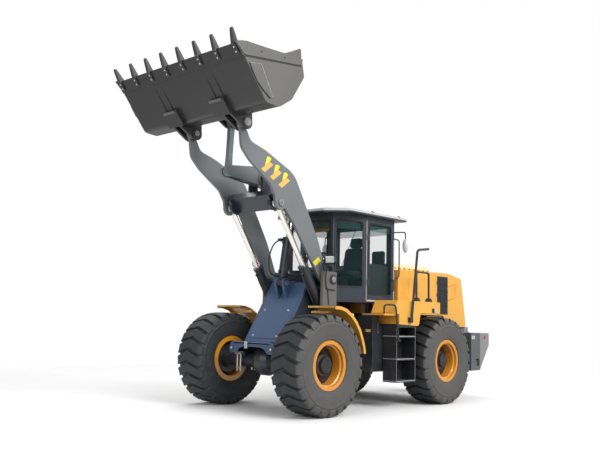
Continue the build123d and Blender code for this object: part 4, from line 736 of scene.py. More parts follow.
def buildCover(bm):
    half, low, high = coverShape["half"], coverShape["low"], coverShape["high"]
    corners = [onSlope(-half, low), onSlope(half, low), onSlope(half, high), onSlope(-half, high)]
    addPlate(bm, corners, Vector(slopeNormal) * coverShape["thick"], 0.003)


def buildSlopeBolts(bm):
    for z in coverShape["boltZ"]:
        addBolt(bm, onSlope(coverShape["boltY"], z, coverShape["thick"]), slopeNormal,
                coverShape["boltRadius"])


def buildWeld(bm):
    low, high, count, radius = (weldShape[key] for key in ("low", "high", "count", "radius"))
    for i in range(count):
        bead = onSlope(weldShape["edge"], low + (high - low) * i / (count - 1), -weldShape["sunk"])
        addDisc(bm, bead, slopeNormal, radius, weldShape["tall"], 8, 0.0, radius * 0.5)


def buildYoke(bm):
    line = [(-y, z) for y, z in yokeShape["line"]][:0:-1] + yokeShape["line"]
    corners = [at(yokeShape["face"], y, z) for y, z in line[:-1]]
    addPlate(bm, corners, (yokeShape["depth"], 0, 0), 0.006)
    addBlocks(bm, [yokeShape["shelf"]])


oneSide("frontCover", buildCover, "front_frame", "plate_blue")
bothSides("coverBolts", buildSlopeBolts, "front_frame", "bright_bolt")
bothSides("slopeWelds", buildWeld, "front_frame", "plate_navy")
oneSide("axleYoke", buildYoke, "front_frame", "plate_blue")


def onYoke(y, z, out=0.0):
    return at(yokeShape["face"] + yokeShape["depth"] + out, y, z)


def buildYokeBosses(bm):
    radius, depth = yokeShape["boss"]
    addDisc(bm, onYoke(*yokeShape["bossSpot"]), (1, 0, 0), radius, depth, 28, 0.003)


def buildYokePins(bm):
    radius, depth = yokeShape["pin"]
    addDisc(bm, onYoke(*yokeShape["bossSpot"], yokeShape["boss"][1]), (1, 0, 0), radius, depth, 24, 0.004)


def buildWeldBlock(bm):
    low, high = yokeShape["block"]
    addBlock(bm, onYoke(*low, -0.01), onYoke(*high, 0.02), 0.006)


def buildAxleBolts(bm):
    shape = axleBoltShape
    for x in shape["x"]:
        for y in shape["y"]:
            addDisc(bm, at(x, y, shape["low"]), (0, 0, 1), shape["radius"], shape["length"], 16, 0.003)
            addBolt(bm, at(x, y, shape["nut"]), (0, 0, -1), shape["nutRadius"])
    addBlocks(bm, [shape["bridge"]])


bothSides("yokeBosses", buildYokeBosses, "front_frame", "plate_navy")
bothSides("yokePins", buildYokePins, "front_frame", "bright_bolt")
oneSide("yokeWeldBlock", buildWeldBlock, "front_frame", "bright_bolt")
bothSides("axleBolts", buildAxleBolts, "front_frame", "bright_bolt")
print("front frame done")

# arms: coloured marks on the outer faces
markShape = {
    "face": 0.6303, "thick": 0.0012, "shift": (-0.195, -0.098), "count": 3,
    "bright": [(0.752, 4.014), (0.712, 4.030), (0.652, 4.003), (0.680, 3.955), (0.790, 3.872)],
    "pale": [(0.685, 3.947), (0.604, 3.907), (0.790, 3.761), (0.872, 3.806)],
    "low": [(-0.520, 2.528), (-0.578, 2.465), (-0.446, 2.366), (-0.384, 2.428)]}


def addMarks(bm, key, count):
    for i in range(count):
        dx, dz = (value * i for value in markShape["shift"])
        corners = [at(x + dx, markShape["face"], z + dz) for x, z in markShape[key]]
        addPlate(bm, corners, (0, markShape["thick"], 0))


def buildBrightMarks(bm):
    addMarks(bm, "bright", markShape["count"])
    addMarks(bm, "low", 1)


def buildPaleMarks(bm):
    addMarks(bm, "pale", markShape["count"])


bothSides("armMarksBright", buildBrightMarks, "boom", "mark_yellow")
bothSides("armMarksPale", buildPaleMarks, "boom", "mark_amber")


# pins: end discs with a small centre disc and two bolts, on the outer faces
pinEnds = {
    "pivotPinEnds": {"body": "front_frame", "x": -0.800, "z": 2.160, "face": 0.7405, "radius": 0.050,
                     "turn": 0.6},
    "liftBasePinEnds": {"body": "front_frame", "x": -0.790, "z": 1.550, "face": 0.7305, "radius": 0.050,
                        "turn": 0.2},
    "liftEyePinEnds": {"body": "boom", "x": 0.410, "z": 3.330, "face": 0.6445, "radius": 0.052, "turn": -0.7},
    "bucketPinEnds": {"body": "bucket_pins", "x": 1.270, "z": 4.460, "face": 0.7285, "radius": 0.060,
                      "turn": 0.9}}


def buildPinEnd(settings):
    def build(bm):
        x, z, face, radius = (settings[key] for key in ("x", "z", "face", "radius"))
        addDisc(bm, at(x, face - 0.002, z), (0, 1, 0), radius, 0.010, 32, 0.003)
        addDisc(bm, at(x, face + 0.008, z), (0, 1, 0), radius * 0.42, 0.006, 20, 0.002)
        turn = Matrix.Translation(at(x, face, z)) @ Matrix.Rotation(settings["turn"], 4, "Y")
        for along in (-0.62, 0.62):
            spot = turn @ Vector((radius * along, 0.008, 0))
            addBolt(bm, spot, (0, 1, 0), radius * 0.15)
    return build


for pinName, pinSettings in pinEnds.items():
    bothSides(pinName, buildPinEnd(pinSettings), pinSettings["body"], "pin_steel")


eyePlugShape = {"radius": 0.012, "depth": 0.006, "proud": 0.014}
hingeRingShape = [(0.7245, 0.048), (0.7245, 0.080), (0.7265, 0.083), (0.7275, 0.080), (0.7275, 0.050)]


def buildEyePlug(bm):
    eye = pinEnds["liftEyePinEnds"]
    spot = at(eye["x"], eye["face"] + eyePlugShape["proud"], eye["z"])
    addDisc(bm, spot, (0, 1, 0), eyePlugShape["radius"], eyePlugShape["depth"], 16, 0.002)


def buildHingeCollar(bm):
    hinge = pinEnds["bucketPinEnds"]
    addSpin(bm, hingeRingShape, at(hinge["x"], 0, hinge["z"]), 40)


bothSides("eyePlugs", buildEyePlug, "boom", "plug_red")
bothSides("hingeRings", buildHingeCollar, "bucket", "edge_light")
print("arms done")

# bucket: teeth with bolted straps, floor bars, side lines
toothShape = {
    "count": 8, "span": 2.77, "width": 0.066,
    "sections": [(-0.004, 0.006, 0.088, 0.070), (0.050, 0.013, 0.072, 0.066), (0.130, 0.026, 0.052, 0.058),
                 (0.198, 0.0365, 0.030, 0.048), (0.210, 0.038, 0.016, 0.042)],
    "strap": [(0.006, -0.0145), (-0.165, -0.0145), (-0.165, -0.022), (-0.140, -0.038), (0.006, -0.038)],
    "tongue": [(0.006, 0.0285), (-0.070, 0.0285), (-0.070, 0.036), (0.006, 0.052)],
    "bolts": (-0.050, -0.120), "boltRise": -0.038, "boltRadius": 0.017, "boltDepth": 0.010,
    "boltCrown": 0.013, "splay": 0.20, "outermost": 1.385}
lipPlace, lipSlope = (2.190, 5.290), (0.6233, 0.7820)      # lip's middle, and which way the floor runs


def lipPoint(reach, rise, y):
    # place by its reach past the lip along the floor, and its rise into the bucket
    (x, z), (ux, uz) = lipPlace, lipSlope
    return at(x + ux * reach - uz * rise, y, z + uz * reach + ux * rise)


def toothPlaces():
    count = toothShape["count"]
    return [toothShape["span"] * (i / (count - 1) - 0.5) for i in range(count)]


def buildTeeth(bm):
    for middle in toothPlaces():
        before = None
        # only the corner teeth lean outwards
        splay = toothShape["splay"] * (middle / toothShape["outermost"]) ** 9
        for reach, rise, thick, width in toothShape["sections"]:
            shifted = middle + max(reach, 0) * splay
            ring = [bm.verts.new(lipPoint(reach, rise + up * thick / 2, shifted + over * width / 2))
                    for over, up in ((-1, -1), (1, -1), (1, 1), (-1, 1))]
            loop = [bm.edges.new((ring[i], ring[i - 3])) for i in range(4)]
            if before:
                bmesh.ops.bridge_loops(bm, edges=before + loop)
            else:
                bm.faces.new(ring)
            before = loop
        bm.faces.new(ring)
        width = toothShape["width"]
        for key in ("strap", "tongue"):
            corners = [lipPoint(reach, rise, middle - width / 2) for reach, rise in toothShape[key]]
            addPlate(bm, corners, (0, width, 0), 0.003)


def buildToothBolts(bm):
    for middle in toothPlaces():
        for reach in toothShape["bolts"]:
            spot = lipPoint(reach, toothShape["boltRise"], middle)
            addDisc(bm, spot, (lipSlope[1], 0, -lipSlope[0]), toothShape["boltRadius"],
                    toothShape["boltDepth"], 16, 0.003, toothShape["boltCrown"])


# bars under the bucket's floor, and outlines on its side plates as (x, z) lists, with a painted shadow strip
# under the rail
bucketShape = {
    "side": 1.4765, "bar": {"reach": -0.712, "rise": -0.058, "y": 0.42, "radius": 0.024, "length": 0.28},
    "guard": {"side": 1.4685, "line": [(2.052, 5.136), (0.904, 5.281), (0.905, 5.262), (2.040, 5.116)]},
    "curve": [(1.955, 5.052), (1.885, 4.935), (1.800, 4.820), (1.680, 4.722), (1.528, 4.632)],
    "gusset": {"side": 1.4405, "line": [(0.893, 5.384), (1.280, 5.372), (0.905, 5.545)]},
    "welds": [[(1.955, 5.056), (1.735, 5.086), (1.735, 5.080), (1.955, 5.050)],
              [(1.735, 5.086), (1.485, 4.660), (1.491, 4.657), (1.741, 5.080)]]}


def addSidePlate(bm, side, line, thick, bevel=0.0):
    addPlate(bm, [at(x, side, z) for x, z in line], (0, thick, 0), bevel)


def buildFloorBars(bm):
    bar = bucketShape["bar"]
    addDisc(bm, lipPoint(bar["reach"], bar["rise"], bar["y"]), (0, 1, 0), bar["radius"], bar["length"], 20,
            0.005)


def buildSideLines(bm):
    # painted shadow: a dark strip along the rail's lower edge, where the rail shades the side plate
    addSidePlate(bm, bucketShape["guard"]["side"], bucketShape["guard"]["line"], 0.006)
    curve = bucketShape["curve"]
    outer = [(x + 0.010, z - 0.012) for x, z in curve]
    addSidePlate(bm, bucketShape["side"], curve + outer[::-1], 0.003)


teeth = oneSide("bucketTeeth", buildTeeth, "bucket", "tooth_steel")
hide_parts("bucket_teeth")
oneSide("toothBolts", buildToothBolts, "bucket", "bright_bolt")
bothSides("floorBars", buildFloorBars, "bucket", "edge_light")
bothSides("bucketSideLines", buildSideLines, "bucket", "trim_black")
print("bucket done")

# cylinders: gland rings, ports and steel pipes that ride on each barrel
liftLine = {"base": (-0.790, 1.550), "eye": (0.410, 3.330), "length": 0.980, "radius": 0.080, "y": 0.533,
            "pipe": ((0.18, 0.028), (0.30, 0.030), (0.60, 0.030), (0.86, 0.030), (0.88, 0.010))}
tiltLine = {"base": (-0.310, 2.090), "eye": (-0.511, 3.350), "length": 0.785, "radius": 0.086, "y": 0.0}
# reaches run along the barrel from its base pin, backs from its end, and prouds out from its skin
fittingShape = {
    "gland": {"back": 0.030, "proud": 0.012, "depth": 0.036},
    "collar": {"reach": 0.115, "proud": 0.005, "depth": 0.020},
    "port": {"reach": 0.18, "back": 0.10, "sunk": 0.006, "radius": 0.026, "depth": 0.040},
    "elbow": {"across": (-0.040, 0.030), "reach": 0.16, "proud": 0.002, "radius": 0.018, "depth": 0.018},
    "turned": {"reach": 0.168, "proud": 0.014, "radius": 0.013, "depth": 0.105, "tip": 0.011, "nut": 0.120}}


def alongBarrel(line, distance, out=0.0, y=0.0):
    # place along the barrel's middle, out ahead of it and to its left
    (x0, z0), (x1, z1) = line["base"], line["eye"]
    reach = math.dist((x0, z0), (x1, z1))
    ux, uz = (x1 - x0) / reach, (z1 - z0) / reach
    return at(x0 + ux * distance + uz * out, line["y"] + y, z0 + uz * distance - ux * out)


def barrelAxis(line):
    return alongBarrel(line, 1.0) - alongBarrel(line, 0.0)


def barrelFront(line):
    return alongBarrel(line, 0, 1) - alongBarrel(line, 0, 0)


def sideShift(line, side):
    # from the left cylinder to the one on the given side
    return Vector((0, (side - 1) * line["y"], 0))


def buildBarrelFittings(line, side):
    def build(bm):
        length, radius, shift = line["length"], line["radius"], sideShift(line, side)
        gland, collar, port = (fittingShape[key] for key in ("gland", "collar", "port"))
        glandSpot = alongBarrel(line, length - gland["back"]) + shift
        addDisc(bm, glandSpot, barrelAxis(line), radius + gland["proud"], gland["depth"], 36, 0.004)
        collarSpot = alongBarrel(line, collar["reach"]) + shift
        addDisc(bm, collarSpot, barrelAxis(line), radius + collar["proud"], collar["depth"], 36, 0.003)
        for reach in (port["reach"], length - port["back"]):
            spot = alongBarrel(line, reach, radius - port["sunk"]) + shift
            addDisc(bm, spot, barrelFront(line), port["radius"], port["depth"], 16, 0.004)
    return build


def buildBarrelElbows(line, side):
    def build(bm):
        radius, shift, backwards = line["radius"], sideShift(line, side), -barrelAxis(line)
        elbow, turned = fittingShape["elbow"], fittingShape["turned"]
        for across in elbow["across"]:
            spot = alongBarrel(line, elbow["reach"], radius + elbow["proud"], across) + shift
            addDisc(bm, spot, barrelFront(line), elbow["radius"], elbow["depth"], 16, 0.003)
            out = radius + turned["proud"]
            addDisc(bm, alongBarrel(line, turned["reach"], out, across) + shift, backwards, turned["radius"],
                    turned["depth"], 16, 0.003, turned["tip"])
            addBolt(bm, alongBarrel(line, turned["nut"], out, across) + shift, backwards, turned["radius"])
    return build


for side, name in ((1, "left"), (-1, "right")):
    oneSide("liftFittings_" + name, buildBarrelFittings(liftLine, side), "lift_barrel_" + name, "steel_dark")
    oneSide("liftElbows_" + name, buildBarrelElbows(liftLine, side), "lift_barrel_" + name, "fitting_pale")
    pipeLine = [alongBarrel(liftLine, reach, liftLine["radius"] + out) + sideShift(liftLine, side)
                for reach, out in liftLine["pipe"]]
    addTube("liftPipe_" + name, pipeLine, 0.011, "lift_barrel_" + name, "steel_dark")

oneSide("tiltFittings", buildBarrelFittings(tiltLine, 1), "tilt_barrel", "steel_dark")
tiltHoses = {
    "tiltHose_right": [(-0.300, -0.100, 2.820), (-0.280, -0.185, 2.790), (-0.190, -0.200, 2.600),
                       (-0.166, -0.200, 2.420), (-0.200, -0.200, 2.270), (-0.310, -0.180, 2.200),
                       (-0.420, -0.135, 2.204)],
    "tiltHose_left": [(-0.400, 0.085, 2.800), (-0.345, 0.185, 2.660), (-0.234, 0.200, 2.500),
                      (-0.185, 0.200, 2.370), (-0.215, 0.200, 2.250), (-0.330, 0.190, 2.200),
                      (-0.520, 0.150, 2.212)]}
for hoseName, hosePoints in tiltHoses.items():
    addTube(hoseName, [at(*point) for point in hosePoints], 0.012, "tilt_barrel", "trim_black")


tiltPorts = [((-0.450, -0.165, 2.815), (-0.330, -0.075, 2.865), 0.008),
             ((-0.470, 0.075, 2.785), (-0.360, 0.120, 2.840), 0.008)]

oneSide("tiltPorts", blocksOf(*tiltPorts), "tilt_barrel", "steel_dark")
print("cylinders done")


# cab: window seals, door trims, wiper, roof eyes, sun visor
cabShape = {
    "nose": (-1.010, 0.520), "pillar": (-1.635, 0.780), "side": 0.780, "rear": -2.500,
    "door": (-2.420, -1.635),
    "windowZ": (2.060, 3.230), "screenZ": (2.330, 3.230), "doorZ": (1.855, 3.270), "seal": 0.022,
    "sealThick": 0.006,
    "screenHalf": 0.485, "wideSeal": 0.034, "rearWindow": ((-0.61, 0.61), (2.51, 3.24)), "proud": 0.0005}


def addFrame(bm, origin, across, outward, span, width, thick, cornerRadius=0.05):
    # rubber seal round a window: a rounded, closed ring raised off the wall
    (u0, u1), (v0, v1) = span
    rings = []
    for inset, out in ((0.0, 0.0), (0.0, thick * 0.7), (thick * 0.3, thick), (width - thick * 0.3, thick),
                       (width, thick * 0.7), (width, 0.0)):
        radius = max(cornerRadius - inset, 0.006)
        ring = []
        for u, v, first in ((u1, v1, 0), (u0, v1, 90), (u0, v0, 180), (u1, v0, 270)):
            middleU = u - math.copysign(inset + radius, u - (u0 + u1) / 2)
            middleV = v - math.copysign(inset + radius, v - (v0 + v1) / 2)
            for i in range(7):
                turn = math.radians(first + 15 * i)
                place = Vector(across) * (middleU + radius * math.cos(turn)) + Vector(outward) * out
                ring.append(bm.verts.new(origin + place + Vector((0, 0, middleV + radius * math.sin(turn)))))
        rings.append(ring)
    for i, ring in enumerate(rings):
        after = rings[(i + 1) % len(rings)]
        for j in range(len(ring)):
            k = (j + 1) % len(ring)
            bm.faces.new((ring[j], ring[k], after[k], after[j]))


def buildQuarterSeal(bm):
    (x0, y0), (x1, y1) = cabShape["nose"], cabShape["pillar"]
    length = math.dist((x0, y0), (x1, y1))
    across = Vector((x1 - x0, y1 - y0, 0)) / length
    outward = Vector((across.y, -across.x, 0))
    low, high = cabShape["windowZ"]
    pad = 0.010
    addFrame(bm, at(x0, y0, 0) + outward * cabShape["proud"], across, outward,
             ((0.045 - pad, length - 0.075 + pad), (low - pad, high + pad)), cabShape["seal"] + pad,
             cabShape["sealThick"], 0.06)


def buildSideSeal(side):
    def build(bm):
        x0, x1 = cabShape["door"]
        pad = 0.008
        doorLow, doorHigh = cabShape["doorZ"]
        low, high = (doorLow + 0.085, doorHigh - 0.050) if side > 0 else cabShape["windowZ"]
        addFrame(bm, at(0, side * (cabShape["side"] + cabShape["proud"]), 0), (1, 0, 0), (0, side, 0),
                 ((x0 + 0.060 - pad, x1 - 0.060 + pad), (low - pad, high + pad)), cabShape["seal"] + pad,
                 cabShape["sealThick"], 0.04)
    return build


def buildScreenSeal(bm):
    half, (low, high) = cabShape["screenHalf"], cabShape["screenZ"]
    addFrame(bm, at(cabShape["nose"][0] + cabShape["proud"], 0, 0), (0, 1, 0), (1, 0, 0),
             ((-half, half), (low - 0.01, high + 0.01)), cabShape["wideSeal"], cabShape["sealThick"], 0.06)


def buildRearSeal(bm):
    addFrame(bm, at(cabShape["rear"] - cabShape["proud"], 0, 0), (0, 1, 0), (-1, 0, 0),
             cabShape["rearWindow"], cabShape["wideSeal"], cabShape["sealThick"])


bothSides("quarterSeals", buildQuarterSeal, "rear_frame", "seal_black")
oneSide("doorSeal", buildSideSeal(1), "door", "seal_black")
oneSide("rightSeal", buildSideSeal(-1), "rear_frame", "seal_black")
oneSide("screenSeal", buildScreenSeal, "rear_frame", "seal_black")
oneSide("rearSeal", buildRearSeal, "rear_frame", "seal_black")


def buildDoorTrims(bm):
    x0, x1 = cabShape["door"]
    side, (low, high) = cabShape["side"], cabShape["doorZ"]
    addBlock(bm, at(x1 + 0.004, side + 0.0005, low - 0.02), at(x1 + 0.020, side + 0.007, high - 0.02), 0.002)
    addBlock(bm, at(x0 - 0.030, side - 0.010, low - 0.02), at(x0 - 0.006, side + 0.006, high - 0.30), 0.002)
    addBlock(bm, at(x0 - 0.010, side + 0.0005, low - 0.036), at(x1 + 0.010, side + 0.020, low - 0.004), 0.003)


oneSide("doorTrims", buildDoorTrims, "rear_frame", "edge_pale")


# what shows through the panes: blocks as two corners and a bevel, and the levers
cabInside = {
    # lower door lining and armrest
    "lining": [((-2.345, 0.700, 1.960), (-1.710, 0.722, 2.500), 0.010),
               ((-2.280, 0.640, 2.360), (-1.815, 0.699, 2.400), 0.012)],
    # locker, armrest and lever box
    "boxes": [((-2.440, 0.300, 2.500), (-2.370, 0.600, 2.780), 0.03),
              ((-2.080, 0.290, 2.210), (-1.760, 0.390, 2.300), 0.02),
              ((-2.080, -0.390, 2.210), (-1.560, -0.290, 2.330), 0.02)],
    "levers": (-1.62, -1.70), "leverY": -0.34, "leverLean": (0.1, 0, 1)}


def buildCabInside(bm):
    addBlocks(bm, cabInside["boxes"])
    side, lean = cabInside["leverY"], cabInside["leverLean"]
    for x in cabInside["levers"]:
        addDisc(bm, at(x, side, 2.33), lean, 0.010, 0.14, 12, 0.002)
        addDisc(bm, at(x + 0.014, side, 2.46), lean, 0.022, 0.05, 16, 0.008)


oneSide("doorLining", blocksOf(*cabInside["lining"]), "door", "cab_lining")
oneSide("cabFittings", buildCabInside, "rear_frame", "cab_lining")


roofShape = {
    "visor": ((-1.100, -0.30, 3.03), (-1.088, 0.36, 3.26), 0.004),
    "eyes": ((-1.07, 0.10), (-1.20, 0.72), (-1.75, 0.80), (-2.55, 0.80)), "eyeZ": 3.404, "eyeReach": 0.026,
    "eyeRod": 0.007, "edgeLine": [(-0.762, 0.0), (-0.762, 0.505), (-0.892, 0.688), (-1.062, 0.898),
                                  (-2.698, 0.898)],
    "edgeZ": (3.3815, 3.3865), "edgeStep": (0.006, 0.010)}


def buildRoofEyes(bm):
    height = roofShape["eyeZ"]
    for x, y in roofShape["eyes"]:
        for side in (-1, 1):
            rod = bmesh.ops.create_circle(bm, segments=10, radius=roofShape["eyeRod"],
                                          matrix=Matrix.Translation(
                at(x, side * y + roofShape["eyeReach"], height)))
            bmesh.ops.spin(bm, geom=rod["verts"] + edgesAt(rod["verts"]), cent=at(x, side * y, height),
                           axis=(1, 0, 0), angle=math.pi, steps=10)
            addBlock(bm, at(x - 0.02, side * y - 0.045, height - 0.007),
                     at(x + 0.02, side * y + 0.045, height + 0.001), 0.002)


def buildRoofEdge(bm):
    (low, high), (stepX, stepY) = roofShape["edgeZ"], roofShape["edgeStep"]
    for (x0, y0), (x1, y1) in zip(roofShape["edgeLine"], roofShape["edgeLine"][1:]):
        addPlate(bm, [at(x0, y0, low), at(x1, y1, low), at(x1 - stepX, y1 - stepY, high),
                      at(x0 - stepX, y0 - stepY if y0 else 0, high)], 0.002)


oneSide("sunVisor", blocksOf(roofShape["visor"]), "rear_frame", "visor_amber")
oneSide("roofEyes", buildRoofEyes, "rear_frame", "cab_dark", True)
bothSides("roofEdge", buildRoofEdge, "rear_frame", "edge_pale")


def buildWiper(bm):
    addDisc(bm, at(-0.999, 0.30, 2.275), (1, 0, 0), 0.022, 0.030, 20, 0.004)
    addBlock(bm, at(-0.984, 0.10, 2.45), at(-0.978, 0.112, 3.05), 0.002)


oneSide("wiperPivot", buildWiper, "rear_frame", "seal_black")
addTube("cornerWiper", [at(-1.454, 0.717, 3.165), at(-1.300, 0.653, 2.78), at(-1.160, 0.595, 2.40)], 0.005,
        "rear_frame", "seal_black")
addTube("wiperArm", [at(-0.975, 0.30, 2.275), at(-0.972, 0.24, 2.45), at(-0.975, 0.106, 2.85)], 0.006,
        "rear_frame", "seal_black")


# seat: crowned cushion, back and headrest with sewn channels
seatShape = {
    "cushion": {"middle": (-1.995, 0.0, 2.350), "size": (0.44, 0.47, 0.105), "turn": 0.0, "crown": 0.16,
                "channels": 0.36},
    "back": {"middle": (-2.236, 0.0, 2.622), "size": (0.085, 0.46, 0.46), "turn": -0.178, "crown": 0.16,
             "channels": 0.36},
    "headrest": {"middle": (-2.305, 0.0, 2.945), "size": (0.072, 0.27, 0.19), "turn": -0.11, "crown": 0.12,
                 "channels": 0.0},
    "squareness": 7.0, "cuts": 15, "channelWidth": 0.05, "channelDepth": 0.22, "bolster": 0.10,
    "flatten": 0.92, "pinch": 0.035}


def addPad(bm, pad, thinAxis):
    place = Matrix.Translation(at(*pad["middle"])) @ Matrix.Rotation(pad["turn"], 4, "Y")
    earlier = len(bm.verts)
    made = bmesh.ops.create_cube(bm, size=2.0)
    bmesh.ops.subdivide_edges(bm, edges=edgesAt(made["verts"]), cuts=seatShape["cuts"], use_grid_fill=True)
    verts = bm.verts[:][earlier:]
    power = seatShape["squareness"]
    for vert in verts:
        share = sum(abs(value) ** power for value in vert.co) ** (-1 / power)
        local = vert.co * share
        u, v = (local[i] for i in range(3) if i != thinAxis)
        crown = 1 + pad["crown"] * ((1 - u * u) * (1 - v * v) - 0.5)
        if pad["channels"]:
            groove = sum(math.exp(-((local.y - spot) / seatShape["channelWidth"]) ** 2)
                         for spot in (-pad["channels"], pad["channels"]))
            crown *= 1 - seatShape["channelDepth"] * groove
            crown *= 1 + seatShape["bolster"] * max(0.0, abs(local.y) - 0.5)
        local[thinAxis] *= crown * seatShape["flatten"]
        pinch = 1 - seatShape["pinch"] * (u * u + v * v) / 2
        for i in range(3):
            if i != thinAxis:
                local[i] *= pinch
        vert.co = place @ Vector([local[i] * pad["size"][i] / 2 for i in range(3)])


def buildSeat(bm):
    addPad(bm, seatShape["cushion"], 2)
    addPad(bm, seatShape["back"], 0)
    addPad(bm, seatShape["headrest"], 0)


seatPads = oneSide("seatPads", buildSeat, "rear_frame", "seat_fabric", True)
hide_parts("seat_cushions")


def buildSeatPosts(bm):
    for y in (-0.06, 0.06):
        addDisc(bm, at(-2.290, y, 2.82), (-0.11, 0, 1), 0.008, 0.06, 12, 0.0)
    addBlock(bm, at(-2.255, -0.20, 2.33), at(-2.225, 0.20, 2.50), 0.006)


oneSide("seatPosts", buildSeatPosts, "rear_frame", "seal_black")
print("cab done")

# lamps: headlamp in its guard, hood lamp, rear lamps
lampShape = {
    "middle": (-0.585, 0.850, 2.475), "half": (0.040, 0.086, 0.062), "turn": 0.30, "ribs": 6,
    "hoopY": (-0.110, 0.110),
    "arm": [(-0.715, 2.2903), (-0.600, 2.2903), (-0.520, 2.42), (-0.620, 2.43)], "armY": (0.688, 0.022),
    "bracket": ((-0.640, 0.690, 2.404), (-0.530, 0.885, 2.418), 0.004), "railZ": (-0.070, 0.085),
    "hoop": [(-0.02, -0.070), (0.085, -0.060), (0.090, 0.0), (0.080, 0.075), (-0.03, 0.085)], "wire": 0.009,
    "cable": [(-0.585, 0.790, 2.41), (-0.590, 0.737, 2.30), (-0.610, 0.730, 2.05), (-0.640, 0.728, 1.98),
              (-0.850, 0.728, 1.985)],
    "cableLow": [(-0.660, 0.726, 1.98), (-0.690, 0.726, 1.80), (-0.720, 0.726, 1.58), (-0.725, 0.726, 1.46)]}


def lampMatrix():
    # the lamp's own axes, turned a little outwards
    return Matrix.Translation(at(*lampShape["middle"])) @ Matrix.Rotation(lampShape["turn"], 4, "Z")


def buildHeadHousing(bm):
    x, y, z = lampShape["half"]
    addBlock(bm, (-x, -y, -z), (x, y, z), 0.014, lampMatrix())
    addBlock(bm, (-0.03, -0.03, -z - 0.05), (0.03, 0.03, -z + 0.002), 0.006, lampMatrix())
    inner, thick = lampShape["armY"]
    addSidePlate(bm, inner, lampShape["arm"], thick, 0.004)
    addBlocks(bm, [lampShape["bracket"]])


def buildHeadLens(bm):
    x, y, z = lampShape["half"]
    addBlock(bm, (x - 0.002, -y + 0.010, -z + 0.008), (x + 0.010, y - 0.010, z - 0.008), 0.008, lampMatrix())


def buildHeadRibs(bm):
    x, y, z = lampShape["half"]
    for i in range(lampShape["ribs"]):
        spot = -y + 0.022 + (2 * y - 0.044) * i / (lampShape["ribs"] - 1)
        addBlock(bm, (x + 0.0102, spot - 0.003, -z + 0.014), (x + 0.0125, spot + 0.003, z - 0.014), 0.001,
                 lampMatrix())


headHousing = bothSides("headHousings", buildHeadHousing, "front_frame", "steel_dark")
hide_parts("headlamps")
bothSides("headLenses", buildHeadLens, "front_frame", "lamp_white")
bothSides("headRibs", buildHeadRibs, "front_frame", "edge_light")


def addLampWire(name, side, line):
    points = [lampMatrix() @ Vector(point) for point in line]
    for point in points:
        point.y *= side
    addTube(name, points, lampShape["wire"], "front_frame", "seal_black")


for side, name in ((1, "left"), (-1, "right")):
    for over, end in zip(lampShape["hoopY"], ("_in", "_out")):
        addLampWire("lampGuard_" + name + end, side, [(x, over, z) for x, z in lampShape["hoop"]])
    for height, end in zip(lampShape["railZ"], ("_low", "_high")):
        addLampWire("lampGuard_" + name + end, side, [(-0.02, y, height) for y in (-0.110, 0.0, 0.110)])
for name, radius in (("cable", 0.009), ("cableLow", 0.006)):
    addTube("lamp" + name[0].upper() + name[1:], [at(*point) for point in lampShape[name]], radius,
            "front_frame", "seal_black")

hoodShape = {
    "side": 0.815, "lampSide": 1.3003, "lampX": (-3.060, -2.990, -2.920), "lampZ": (1.655, 1.735),
    "rearLow": (-4.910, 1.410), "rearHigh": (-4.720, 2.380), "hinges": (1.78, 2.02, 2.26),
    "hingeX": (-3.835, -3.818),
    "meshX": (-4.205, 0.044, 9), "meshZ": (1.70, 0.046, 15), "meshSpan": ((-4.19, -3.87), (1.68, 2.35)),
    "rearLamp": ((0.64, 1.49), (0.76, 1.75)), "lensY": (0.652, 0.748),
    "lenses": (("Red", 1.500, 1.585, "lens_red"), ("Amber", 1.592, 1.662, "lens_amber"),
               ("Clear", 1.669, 1.738, "lamp_white"))}


def onRear(y, z, out=0.0):
    (x0, z0), (x1, z1) = hoodShape["rearLow"], hoodShape["rearHigh"]
    lean = (x1 - x0) / (z1 - z0)
    return at(x0 + (z - z0) * lean - out, y, z)


def buildHoodTrims(bm):
    side, outer, (low, high) = hoodShape["side"], hoodShape["lampSide"], hoodShape["lampZ"]
    _, middle, front = hoodShape["lampX"]
    addBlock(bm, at(middle, outer, low), at(front, outer + 0.010, high), 0.004)
    x0, x1 = hoodShape["hingeX"]
    for z in hoodShape["hinges"]:
        addBlock(bm, at(x0, side + 0.0005, z - 0.03), at(x1, side + 0.008, z + 0.03), 0.002)


def buildFenderLens(bm):
    outer, (low, high) = hoodShape["lampSide"], hoodShape["lampZ"]
    rear, middle, _ = hoodShape["lampX"]
    addBlock(bm, at(rear, outer, low), at(middle - 0.002, outer + 0.012, high), 0.004)


def buildGrilleMesh(bm):
    side, ((x0, x1), (z0, z1)) = hoodShape["side"], hoodShape["meshSpan"]
    first, step, count = hoodShape["meshX"]
    for i in range(count):
        x = first + step * i
        addBlock(bm, at(x - 0.0025, side - 0.003, z0), at(x + 0.0025, side + 0.0012, z1), 0.0)
    first, step, count = hoodShape["meshZ"]
    for i in range(count):
        z = first + step * i
        addBlock(bm, at(x0, side - 0.003, z - 0.0022), at(x1, side + 0.0010, z + 0.0022), 0.0)


def addRearPlate(bm, low, high, out, thick, bevel):
    # upright panel on the leaning rear face, from its low inner to its high outer corner
    (y0, z0), (y1, z1) = low, high
    corners = [onRear(y0, z1, out), onRear(y1, z1, out), onRear(y1, z0, out), onRear(y0, z0, out)]
    addPlate(bm, corners, (-thick, 0, 0), bevel)


def buildRearLampFrames(bm):
    addRearPlate(bm, *hoodShape["rearLamp"], 0.0, 0.030, 0.006)


def buildRearLens(low, high):
    def build(bm):
        y0, y1 = hoodShape["lensY"]
        addRearPlate(bm, (y0, low), (y1, high), 0.0302, 0.012, 0.005)
    return build


